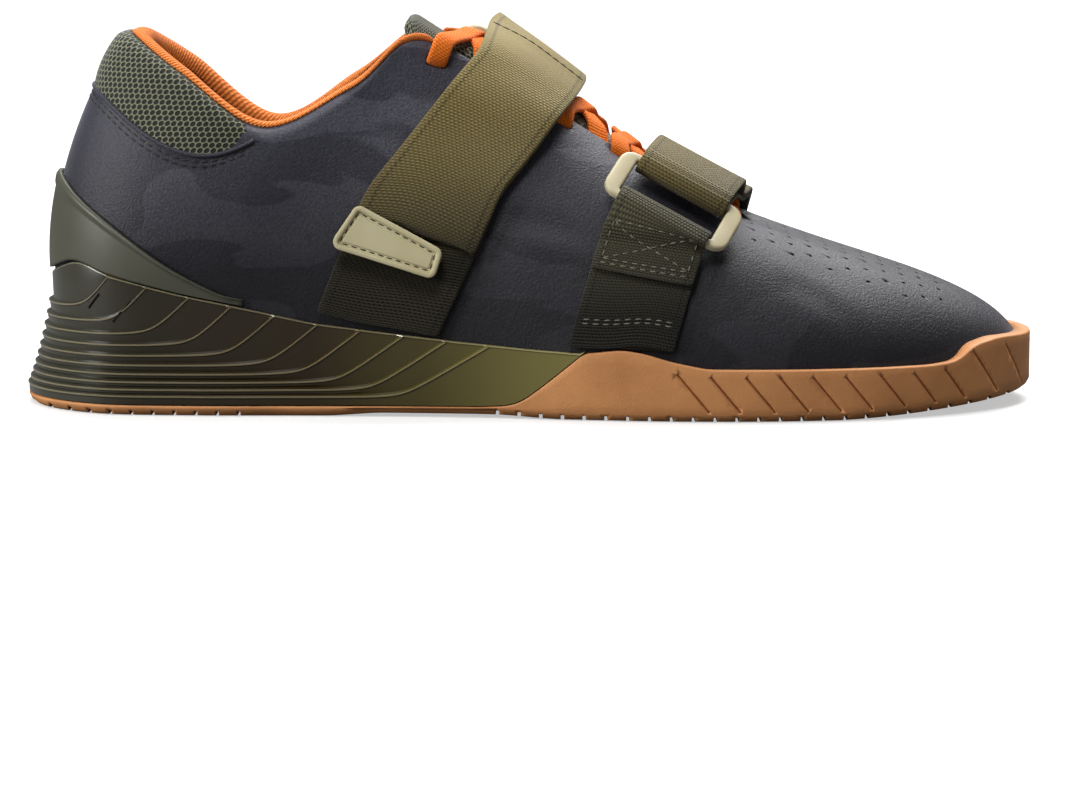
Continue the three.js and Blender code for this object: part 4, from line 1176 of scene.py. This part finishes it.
def makeCounter():
    form = counterForm
    topLine = lambda point: shoe["collarHeight"] * smoothAlong(counterRows, point.x, 4)
    lowLine = lambda point: rimHeight(point.x) + 2 * shoe["clearance"]
    start = firstStation(9.5, 12.5, lambda s: reachOfLine(s, topLine) > reachOfLine(s, lowLine) + 0.02)
    spans = {}

    def place(u, v, depth):
        s = round(mix(start, stationCount - start, u), 5)
        if s not in spans:
            spans[s] = reachOfLine(s, lowLine), reachOfLine(s, topLine)
        low, high = spans[s]
        return skinAt(s, mix(low, max(high, low + 0.004), v), depth)

    def outer(u, v):
        lip = form["lip"] * ease(v, form["lipShare"] - 0.05, form["lipShare"])
        edge = 0.5 * (1 - math.sqrt(1 - ease(v, 0.985, 1)))
        taper = ease(min(u, 1 - u), 0, 0.03)
        return place(u, v, shoe["clearance"] + (form["wall"] + lip) * mix(0.5, 1, taper) - edge)
    return closedStrip("counter_shell", form["columns"], form["rows"], outer,
                       lambda u, v: place(u, v, shoe["clearance"]), (190, 30))


keep(makeCounter(), counterPlastic, "heel_counter", "heel_counter")

bindingForm = {"columns": 260, "rows": 12, "reach": 5.75, "thickness": 1.7}


def bindingAngles(s):
    away = abs(s - heelStation)
    back = 1 - ease(away, 0.5, 1.9)
    front = ease(away, 3.6, 4.6)
    return mix(mix(62, 70, back), 45, front), mix(170, 110, front)


def bindingAt(u, v, depth):
    s = mix(heelStation - bindingForm["reach"], heelStation + bindingForm["reach"], u)
    start, end = bindingAngles(s)
    return edgeTurn(s, mix(start, end, v), wallAt(s, 1) / 2 + depth)


def bindingOuter(u, v):
    ends = ease(min(u, 1 - u), 0, 0.012)
    crown = math.sqrt(math.sin(math.pi * mix(0.03, 0.97, v)))
    return bindingAt(u, v, shoe["clearance"] + bindingForm["thickness"] * crown * mix(0.5, 1, ends))


keep(closedStrip("collar_binding", bindingForm["columns"], bindingForm["rows"], bindingOuter,
                 lambda u, v: bindingAt(u, v, 0.1), (300, 8)), orangeKnit, "piping", "collar_piping")

insoleForm = {"columns": 208, "thickness": 4, "dish": 1.6, "roll": 1.2}


def makeInsole():
    form = insoleForm
    sections = [
        (0.3, 0.0), (0.0, 0.5), (0.0, form["thickness"] - form["roll"]), (0.4, form["thickness"] - 0.35),
        (1.2, form["thickness"]), (3.0, form["thickness"] - 0.3), (7.0, form["thickness"] - 1.0),
        (12.0, form["thickness"] - form["dish"]),
    ]

    def pointAt(row, s):
        inset, lift = sections[row]
        point = skinAt(s, 0, -(shoe["upperWall"] + 2 * shoe["clearance"] + 0.3 + inset))
        return Vector((point.x, point.y, footbedHeight(point.x) + shoe["clearance"] + lift))
    return closedForm("insole_pad", len(sections), form["columns"], 0, stationCount, pointAt, (700, 60))


keep(makeInsole(), nappedCloth, "insole", "insole")

print("stage: tongue")
tongueForm = {
    "columns": 150, "rows": 44, "thickness": 4.5, "reach": 14, "turn": 7.0, "end": 8.6,
    "rise": Vector((-0.84, 0, 0.54)), "edge": 0.07, "meshFrom": 0.66, "knitFrom": -8,
}


def tongueAt(u, v, share):
    # share 0 is the tongue's outer face, 1 its inner face
    form = tongueForm
    p = mix(0.9, form["end"], u)
    side = mix(0.16, -0.05, ease(p, 6.2, 7.2))
    hump = 1 - 0.42 * ease(u, 0.9, 1) ** 2
    q = 1.5 + (mix(1 - side, 2 + side, v) - 1.5) * hump
    sink = -(shoe["upperWall"] + 2 * shoe["clearance"]) * (1 - ease(1.5 - abs(q - 1.5), 1.08, 1.3))
    rim = min(v, 1 - v, (1 - u) * 1.6, u * 4)
    roundness = math.sqrt(max(0.0, 1 - (1 - min(1, rim / form["edge"])) ** 2))
    depth = form["thickness"] * (0.5 + (share - 0.5) * mix(0.16, 1, roundness))
    puff = 0.7 * ease(u, form["meshFrom"], 0.75) * roundness if share < 0.5 else 0
    tuck = 0.8 * (1 - ease(1.5 - abs(q - 1.5), 1.05, 1.2)) * (1 - ease(p, 6.6, 7.2))
    point = bodyAt(min(p, form["turn"]), q, sink - depth - shoe["clearance"] + puff - tuck)
    return point + form["rise"] * (max(0, p - form["turn"]) / (form["end"] - form["turn"]) * form["reach"])


tongue = closedStrip("tongue_pad", tongueForm["columns"], tongueForm["rows"], lambda u, v: tongueAt(u, v, 0),
                     lambda u, v: tongueAt(u, v, 1), (150, 46))
keep(tongue, [openMesh, tongueKnit], "tongue", "tongue")
for face in tongue.data.polygons:
    face.material_index = 1 if face.center.x > tongueForm["knitFrom"] * mm else 0

print("stage: eyelets and laces")
# Places are stations from the toe, share is how far up the skin the slots lie, and a slew above 1 lets the
# lace run across first and back later
laceForm = {
    "places": [2.9, 3.45, 4.1, 4.77, 5.5, 6.35, 7.25], "share": 0.93, "width": 6.2, "thickness": 1.6,
    "lift": 1.5, "rise": 0.6, "over": 1.3, "under": -3.3, "steps": 9, "slew": 1.7,
    "slotLength": 6.5, "slotWidth": 2.6, "slotDepth": 9, "slotRound": 0.7,
}


def surfaceFrame(p, q):
    out = bodyNormal(p, q)
    back = body(p + 0.05, q) - body(p - 0.05, q)
    back = (back - out * back.dot(out)).normalized()
    return Matrix((back, out.cross(back), out)).transposed().to_4x4()


slots = bmesh.new()
for p in laceForm["places"]:
    for q in (laceForm["share"], 3 - laceForm["share"]):
        size = (laceForm["slotLength"], laceForm["slotWidth"], laceForm["slotDepth"])
        addBox(slots, body(p, q), size, surfaceFrame(p, q))
bmesh.ops.bevel(slots, geom=slots.edges, offset=laceForm["slotRound"] * mm, segments=2, profile=0.5,
                affect="EDGES", material=-1)
bpy.context.view_layer.update()
form = upperForm
for row in range(int((form["pinTo"] - form["pinFrom"]) / (form["pinPitch"] * form["pinRow"])) + 1):
    x = form["pinFrom"] + row * form["pinPitch"] * form["pinRow"]
    for column in range(-form["pinColumns"], form["pinColumns"] + 1):
        y = (column + 0.5 * (row % 2)) * form["pinPitch"]
        struck, place, look, face = upper.ray_cast(Vector((x * mm, y * mm, 0.2)), Vector((0, 0, -1)))
        if struck and abs(y) < form["pinReach"] and place.z > form["pinLowest"] * mm:
            turned = look.to_track_quat("Z", "Y").to_matrix().to_4x4()
            bmesh.ops.create_cone(
                slots, cap_ends=True, segments=10, radius1=form["pinhole"] * mm, radius2=form["pinhole"] * mm,
                depth=2.5 * shoe["upperWall"] * mm, matrix=Matrix.Translation(place) @ turned)
cutWith(upper, finishMesh(slots, "slotCutter", smooth=False))


def laceRoute(startSide, overFirst):
    # one half of the lace: under an edge, across the tongue, over the other edge, down its slot and on
    form = laceForm
    points = []
    sides = [form["share"], 3 - form["share"]]
    for i in range(1, len(form["places"])):
        fromQ, toQ = sides[(i + startSide) % 2], sides[(i + 1 + startSide) % 2]
        fromP, toP = form["places"][i - 1], form["places"][i]
        high = form["lift"] + (form["over"] if (i + overFirst) % 2 else 0)
        crossing = [
            (0.0, form["under"]), (0.07, form["under"]), (0.16, -1.7), (0.26, 0.9), (0.38, form["lift"]),
            (0.5, high), (0.64, form["lift"] + 0.2), (0.78, form["lift"] + 0.3), (0.9, form["lift"] + 0.5),
            (0.965, form["lift"] + 0.2), (0.995, 0.2),
        ]
        for share, depth in crossing:
            p, q = mix(fromP, toP, share ** form["slew"]), mix(fromQ, toQ, share)
            points.append((p, q, depth + form["rise"] * ease(p, 5.6, 6.6) * ease(depth, 0, 1.5)))
    points.append((form["places"][-1], toQ, form["under"]))
    return points


def laceBand(name, points):
    # a flat band through surface points, its faces looking away from the foot where it lies flat
    centres = [bodyAt(p, q, depth) for p, q, depth in points]
    path = []
    for i in range(len(centres) - 1):
        a, b, c, d = [centres[min(len(centres) - 1, max(0, i + step))] for step in (-1, 0, 1, 2)]
        for f in steps(0, 1, laceForm["steps"])[:-1]:
            path.append((curveThrough(a, b, c, d, f), mix(points[i][0], points[i + 1][0], f),
                         mix(points[i][1], points[i + 1][1], f)))
    path.append((centres[-1], points[-1][0], points[-1][1]))
    frames = []
    for i, (centre, p, q) in enumerate(path):
        ahead = (path[min(len(path) - 1, i + 1)][0] - path[max(0, i - 1)][0]).normalized()
        wide = body(p + 0.05, q) - body(p - 0.05, q)
        wide = (wide - ahead * wide.dot(ahead)).normalized()
        frames.append([centre, wide, wide.cross(ahead)])
    for _ in range(3):
        smoothed = [frames[0][1]] + [(a[1] + b[1] * 2 + c[1]).normalized()
                                     for a, b, c in zip(frames, frames[1:], frames[2:])] + [frames[-1][1]]
        for entry, wide in zip(frames, smoothed):
            entry[1] = wide
    section = roundedFlat(laceForm["width"], laceForm["thickness"], 10, 6)
    lengthAll = sum((b[0] - a[0]).length for a, b in zip(path, path[1:]))

    def pointAt(index, across):
        centre, wide, look = frames[index]
        crown = 0.25 * (1 - (2 * across / laceForm["width"]) ** 2)
        return centre + wide * across + look * crown, look
    return bandPiece(name, len(frames) - 1, pointAt, section, (lengthAll, 2 * laceForm["width"]))


sides = (laceForm["share"], 3 - laceForm["share"])
firstP = laceForm["places"][0]
barDepths = [
    (0.0, laceForm["under"]), (0.01, 0.2), (0.04, 1.7), (0.1, 2.0), (0.3, 1.6), (0.5, 1.6), (0.7, 1.6),
    (0.9, 2.0), (0.96, 1.7), (0.99, 0.2), (1.0, laceForm["under"]),
]
firstBar = [(firstP, mix(*sides, share), depth) for share, depth in barDepths]
keep(laceBand("lace_front", firstBar), orangeLace, "lace", "laces")
for side, name in ((0, "lace_outer"), (1, "lace_inner")):
    keep(laceBand(name, laceRoute(side, side)), orangeLace, "lace", "laces")

print("stage: straps and rings")
strapForm = {
    "webbing": 1.5, "ease": 0.5, "ringBar": 2.4, "ringEnd": 5, "ringGap": 16, "foldSpace": 0.9,
    "laceThickness": 1.3, "rib": 0.85, "teeth": 0.16, "stepsPerRib": 3,
    "foldSteps": 8, "endRound": 2.0, "uvRound": 88, "ringCorner": 4.5, "holeCorner": 1, "ringBevel": 0.8,
    "crestStitches": 11, "crestThread": (2.6, 0.1, 0.36), "boxFrom": 3.5, "boxTo": 14.5, "boxHalf": 0.42,
    "rowHalf": 0.44,
}
laceLift = 4 * shoe["clearance"] + 1.5 * strapForm["laceThickness"]
foldRadius = (strapForm["ringBar"] + strapForm["webbing"]) / 2 + strapForm["foldSpace"]
firstLayer = shoe["clearance"] + strapForm["ease"] + strapForm["webbing"] / 2
secondLayer = firstLayer + strapForm["webbing"] + shoe["clearance"]
barOffset = firstLayer + foldRadius + 2 * strapForm["ease"]


def placeOn(way, level, q):
    # where along the shoe the body reaches a level measured along a strap's own direction
    return halving(0.6, 11.5, 24, lambda p: body(p, q).dot(way) > level)


def liftAt(q):
    return laceLift * ease(1.5 - abs(q - 1.5), 0.66, 0.84)


def reachAtRim(way, level, side):
    def at(reach):
        return 3 - reach if side else reach
    q = 0.02
    while q < 0.6:
        point = bodyAt(placeOn(way, level, at(q)), at(q), secondLayer)
        if point.z > rimHeight(point.x) + strapForm["webbing"]:
            break
        q += 0.01
    return at(q)


def layerRows(strap, levels, start, end, count, offset, face, bar, straight):
    centre = (levels[0] + levels[-1]) / 2
    rows = []
    for f in steps(0, 1, count):
        row = []
        for level in levels:
            q = mix(start(level), end(level), f)
            p = placeOn(strap["way"], level + strap["lean"] * max(0, 0.5 - q), q)
            row.append([bodyAt(p, q, offset(f) + liftAt(q)), bodyNormal(p, q) * face])
        middle = sum((place for place, look in row), Vector()) / len(row)
        plainLook = row[1][1].copy()
        for point, level in zip(row, levels):
            point[0] = point[0].lerp(middle + bar * (level - centre), straight(f))
            point[1] = point[1].lerp(plainLook, straight(f)).normalized()
        rows.append(row)
    return rows


def ringFrame(strap, q, turn):
    def at(level, reach):
        return bodyAt(placeOn(strap["way"], level, reach), reach, barOffset + liftAt(reach))
    near = at(strap["middle"], q)
    farReach = q
    while (at(strap["middle"], farReach) - near).length < strapForm["ringGap"]:
        farReach += 0.002 * turn
    down = (at(strap["middle"], farReach) - near).normalized()
    heelEnd, toeEnd = strap["middle"] - strap["width"] / 2, strap["middle"] + strap["width"] / 2
    slant = strap["skew"] * strap["width"] / 2
    spread = at(toeEnd, q + slant) - at(heelEnd, q - slant)
    spread += at(toeEnd, farReach + slant) - at(heelEnd, farReach - slant)
    barWay = (spread - down * spread.dot(down)).normalized()
    out = barWay.cross(down)
    if out.dot(bodyNormal(placeOn(strap["way"], strap["middle"], q), q)) < 0:
        out.negate()
    return {"near": near, "far": near + down * strapForm["ringGap"], "down": down, "along": barWay,
            "out": out, "reach": q, "farReach": farReach}


def foldRows(ring, bar, sign, levels, middle):
    rows = []
    for turn in steps(0, math.pi, strapForm["foldSteps"]):
        spoke = ring["out"] * -math.cos(turn) + ring["down"] * (sign * math.sin(turn))
        rows.append([[bar + ring["along"] * (level - middle) + spoke * foldRadius, -spoke]
                     for level in levels])
    return rows


def strapRows(strap, ring, bar, sign, side, endReach, counts):
    levels = steps(strap["middle"] - strap["width"] / 2, strap["middle"] + strap["width"] / 2, 3)
    barReach = ring["reach"] if bar == "near" else ring["farReach"]

    def beside(level):
        return barReach + (0.03 if side else -0.03) + strap["skew"] * (level - strap["middle"])
    raised = firstLayer + 2 * strapForm["ease"]
    first = layerRows(
        strap, levels, lambda level: reachAtRim(strap["way"], level, side), beside, counts[0],
        lambda f: mix(firstLayer, raised, ease(f, 0.5, 0.9)), 1, ring["along"], lambda f: ease(f, 0.65, 0.95))
    second = layerRows(
        strap, levels, beside,
        lambda level: endReach - strap["endSkew"] * (level - strap["middle"]), counts[1],
        lambda f: mix(raised + 2 * foldRadius, secondLayer, ease(f, 0, 0.4)), -1, ring["along"],
        lambda f: 1 - ease(f, 0, 0.3))
    return first + foldRows(ring, ring[bar], sign, levels, strap["middle"]) + second


class Webbing:
    # a strap's rows as one smooth sheet: distance along in millimetres, across from -0.5 to 0.5
    def __init__(self, rows, width):
        self.rows, self.width = rows, width
        self.marks = [0.0]
        for a, b in zip(rows, rows[1:]):
            self.marks.append(self.marks[-1] + ((a[1][0] + a[2][0]) / 2 - (b[1][0] + b[2][0]) / 2).length)
        self.length = self.marks[-1]

    def crossRow(self, row, across, part):
        x = min(2.9999, max(0.0, (across + 0.5) * 3))
        first = math.floor(x)
        points = [row[min(3, max(0, first + step))][part] for step in (-1, 0, 1, 2)]
        if first == 0:
            points[0] = points[1] * 2 - points[2]
        if first == 2:
            points[3] = points[2] * 2 - points[1]
        return curveThrough(*points, x - first)

    def at(self, distance, across):
        last = len(self.rows) - 1
        i = next((k for k in range(last) if self.marks[k + 1] >= distance), last - 1)
        f = (distance - self.marks[i]) / (self.marks[i + 1] - self.marks[i])
        near = [self.rows[min(last, max(0, i + step))] for step in (-1, 0, 1, 2)]
        place = curveThrough(*[self.crossRow(row, across, 0) for row in near], f)
        look = curveThrough(*[self.crossRow(row, across, 1) for row in near], f)
        return place, look.normalized()


def makeStrap(name, sheet, material, replaced):
    form = strapForm
    endRound = form["endRound"]
    count = int(sheet.length / form["rib"] * form["stepsPerRib"])
    section = roundedFlat(sheet.width, form["webbing"], 14, 6)

    def pointAt(index, across):
        distance = sheet.length * index / count
        outer = ease(abs(across) / sheet.width, 0.46, 0.49)
        tooth = form["teeth"] * (1 if index % form["stepsPerRib"] == 1 else -1) * outer
        fromEnd = min(distance, sheet.length - distance)
        corner = 1 - math.sqrt(max(0.0, 1 - (1 - min(1, fromEnd / endRound)) ** 2))
        narrow = min(1, 1 - endRound * corner / sheet.width)
        return sheet.at(distance, (across + math.copysign(tooth, across)) / sheet.width * narrow)
    piece = bandPiece(name, count, pointAt, section, (sheet.length, form["uvRound"]))
    keep(piece, material, "webbing", replaced)


def sheetStitches(bm, sheet, corners, dash=1.9, gap=0.9, radius=0.24, face=1):
    # a row of stitches through corners given as distance along and across the webbing
    for (a, c), (b, d) in zip(corners, corners[1:]):
        count = max(2, int(math.hypot(b - a, (d - c) * sheet.width) / 1.5))
        path, looks = [], []
        for f in steps(0, 1, count):
            place, look = sheet.at(mix(a, b, f), mix(c, d, f))
            path.append(place + look * face * (strapForm["webbing"] / 2))
            looks.append(look * face)
        stitchRow(bm, path, looks, dash, gap, radius)


instep = {
    "way": Vector((0.778, 0, -0.628)), "lean": 25, "skew": 0, "endSkew": 0.0035,
    "middle": -length * 0.206, "width": 31.5,
}
forefoot = {
    "way": Vector((0.912, -0.196, -0.363)), "lean": 12, "skew": 0.002, "endSkew": 0,
    "middle": length * 0.07, "width": 29,
}
instepRing = ringFrame(instep, 2.02, 1)
forefootRing = ringFrame(forefoot, 0.745, -1)
sheets = {}
for node, strap, ring, bar, sign, side, endReach, counts in (
        ("instep_strap", instep, instepRing, "near", 1, 0, 0.36, (18, 16)),
        ("instep_anchor", instep, instepRing, "far", -1, 1, 2.7, (8, 5)),
        ("forefoot_strap", forefoot, forefootRing, "near", 1, 1, 2.55, (16, 12)),
        ("forefoot_anchor", forefoot, forefootRing, "far", -1, 0, 0.34, (8, 5))):
    sheets[node] = Webbing(strapRows(strap, ring, bar, sign, side, endReach, counts), strap["width"])
for node, sheet in sheets.items():
    print("  ", node, round(sheet.length, 1), "mm of webbing")
    makeStrap(node.replace("_strap", "_webbing").replace("_anchor", "_loop"), sheet,
              darkWebbing if "anchor" in node else strapWebbing, node)

webbingStitches = bmesh.new()
for node in ("instep_anchor", "forefoot_anchor"):
    sheet = sheets[node]
    far, near = sheet.length - strapForm["boxTo"], sheet.length - strapForm["boxFrom"]
    low, high = -strapForm["boxHalf"], strapForm["boxHalf"]
    box = [(near, low), (near, high), (far, high), (far, low), (near, low)]
    for corners in (box, [box[0], box[2]], [box[1], box[3]]):
        sheetStitches(webbingStitches, sheet, corners, face=-1)
forefootLoop = sheets["forefoot_anchor"]
for distance, face in ((7.0, 1), (8.2, 1), (forefootLoop.length - 2.2, -1)):
    row = [(distance, -strapForm["rowHalf"]), (distance, strapForm["rowHalf"])]
    sheetStitches(webbingStitches, forefootLoop, row, face=face)
keep(finishMesh(webbingStitches, "webbing_stitches"), paleThread, "webbing")
crestStitches = bmesh.new()
sheet = sheets["instep_strap"]
crest = max(steps(sheet.length * 0.55, sheet.length, 80), key=lambda d: sheet.at(d, 0)[0].z)
crestLine = crest + strapForm["crestStitches"]
sheetStitches(crestStitches, sheet, [(crestLine, -0.47), (crestLine, 0.47)],
              *strapForm["crestThread"], face=-1)
keep(finishMesh(crestStitches, "crest_stitches"), darkThread, "webbing")


def roundedLoop(width, height, radius, count=6):
    x, y = width / 2 - radius, height / 2 - radius
    outline = []
    for cornerX, cornerY, start in ((x, -y, -90), (x, y, 0), (-x, y, 90), (-x, -y, 180)):
        for turn in steps(0, 90, count):
            angle = math.radians(start + turn)
            outline.append((cornerX + radius * math.cos(angle), cornerY + radius * math.sin(angle)))
    return outline


def makeRing(name, ring, width, node):
    # outer and inner loops bridged, extruded through the bar's thickness and rounded
    bar = strapForm["ringBar"]
    inside = width + 4 * shoe["clearance"]
    outerWidth = inside + 2 * strapForm["ringEnd"]
    outerLoop = roundedLoop(outerWidth, strapForm["ringGap"] + bar, strapForm["ringCorner"])
    innerLoop = roundedLoop(inside, strapForm["ringGap"] - bar, strapForm["holeCorner"])
    side = ring["down"].cross(ring["out"])
    middle = (ring["near"] + ring["far"]) / 2
    bm = bmesh.new()
    loops = []
    for outline in (outerLoop, innerLoop):
        verts = [bm.verts.new((middle + side * x + ring["down"] * y - ring["out"] * bar / 2) * mm)
                 for x, y in outline]
        loops += [bm.edges.new((a, b)) for a, b in zip(verts, verts[1:] + verts[:1])]
    bmesh.ops.bridge_loops(bm, edges=loops)
    grown = bmesh.ops.extrude_face_region(bm, geom=bm.faces[:])
    moved = [item for item in grown["geom"] if isinstance(item, bmesh.types.BMVert)]
    bmesh.ops.translate(bm, verts=moved, vec=ring["out"] * bar * mm)
    bmesh.ops.recalc_face_normals(bm, faces=bm.faces)
    sharp = [edge for edge in bm.edges if len(edge.link_faces) == 2 and edge.calc_face_angle() > 1.2]
    bmesh.ops.bevel(bm, geom=sharp, offset=strapForm["ringBevel"] * mm, segments=4, profile=0.5,
                    affect="EDGES", material=-1)
    keep(finishMesh(bm, name), beigePlastic, "ring", node)


makeRing("instep_buckle", instepRing, instep["width"], "instep_ring")
makeRing("forefoot_buckle", forefootRing, forefoot["width"], "forefoot_ring")

print("stage: badges")
badgeForm = {
    "length": 33, "height": 13, "thickness": 2, "tilt": -0.36, "rim": 1.5, "rimRise": 0.5, "groove": 0.25,
    "corners": [(-0.36, 0.54), (-0.47, -0.54), (0.52, -0.38), (0.51, 0.28)], "radius": 2.4,
    "sideSteps": 8, "arcSteps": 5, "thread": (1.7, 0.9, 0.22), "uvSize": (90, 10),
}


def formPoint(x, z, side, offset):
    # the foot form's surface under a side view point, on the outer (-1) or inner (1) side
    low, high = 0.3, 12.7
    for _ in range(18):
        p = (low + high) / 2
        s = p if side < 0 else stationCount - p
        t = reachOfHeight(s, z)
        if skin(s, t).x > x:
            low = p
        else:
            high = p
    return skinAt(s, t, offset)


def badgeOutline(inset):
    # the badge's four sides moved inwards, with rounded corners
    form = badgeForm
    sideSteps, arcSteps = form["sideSteps"], form["arcSteps"]
    corners = [Vector((u * form["length"], v * form["height"])) for u, v in form["corners"]]
    outline = []
    for i, corner in enumerate(corners):
        back = (corners[i - 1] - corner).normalized()
        ahead = (corners[(i + 1) % 4] - corner).normalized()
        bisector = (back + ahead).normalized()
        halfSine = math.sqrt((1 - back.dot(ahead)) / 2)
        radius = max(0.5, form["radius"] - inset)
        centre = corner + bisector * ((inset + radius) / halfSine)
        reach = math.acos(halfSine)
        for turn in steps(-reach, reach, arcSteps):
            swing = turn if back.x * ahead.y - back.y * ahead.x < 0 else -turn
            spoke = -bisector * radius
            outline.append(centre + Vector((
                spoke.x * math.cos(swing) - spoke.y * math.sin(swing),
                spoke.x * math.sin(swing) + spoke.y * math.cos(swing))))
    filled = []
    for i, point in enumerate(outline):
        if i % (arcSteps + 1) == arcSteps:  # the last point of a corner, with a straight side after it
            after = outline[(i + 1) % len(outline)]
            filled += [point.lerp(after, f) for f in steps(0, 1, sideSteps)[:-1]]
        else:
            filled.append(point)
    return filled


def makeBadge(name, x, z, side, node):
    form = badgeForm
    base = secondLayer + strapForm["webbing"] / 2 + 2 * shoe["clearance"]
    top, low = form["thickness"] + form["rimRise"], form["thickness"] - form["groove"]
    rings = [
        (0.4, 0.0), (0.05, 0.3), (0.0, 0.9), (0.0, top - 0.5), (0.15, top - 0.15), (0.5, top),
        (form["rim"] - 0.35, top), (form["rim"] - 0.1, top - 0.15),
        (form["rim"] + 0.1, low), (form["rim"] + 0.9, low),
        (form["rim"] + 1.15, form["thickness"] + 0.1), (form["rim"] + 1.7, form["thickness"] + 0.12),
    ]
    c, n = math.cos(form["tilt"]), math.sin(form["tilt"])
    outlines = [badgeOutline(inset) for inset, _ in rings]
    count = len(outlines[0])

    def surfaceAt(point, depth):
        return formPoint(x + point.x * c - point.y * n, z + point.x * n + point.y * c, side, base + depth)

    def placeAt(u, v):
        row = round(v * (len(rings) - 1))
        return surfaceAt(outlines[row][round(u * count) % count], rings[row][1])
    bm = bentGrid(count, len(rings) - 1, placeAt, form["uvSize"])
    fillHoles(bm)
    bmesh.ops.triangulate(bm, faces=[face for face in bm.faces if len(face.verts) > 4])
    keep(crisp(finishMesh(bm, name), 32), beigeRubber, "badge", node)
    stitches = bmesh.new()
    seam = badgeOutline(form["rim"] + 0.5)
    path = [surfaceAt(point, low) for point in seam]
    looks = [(surfaceAt(point, low + 1) - place).normalized() for place, point in zip(path, seam)]
    stitchRow(stitches, path + path[:1], looks + looks[:1], *form["thread"])
    keep(finishMesh(stitches, name + "_stitches"), darkThread, "badge")


makeBadge("instep_patch", -length * 0.137, shoe["collarHeight"] * 0.455, -1, "instep_badge")
makeBadge("forefoot_patch", length * 0.14, shoe["collarHeight"] * 0.43, 1, "forefoot_badge")

print("stage: all pieces made")
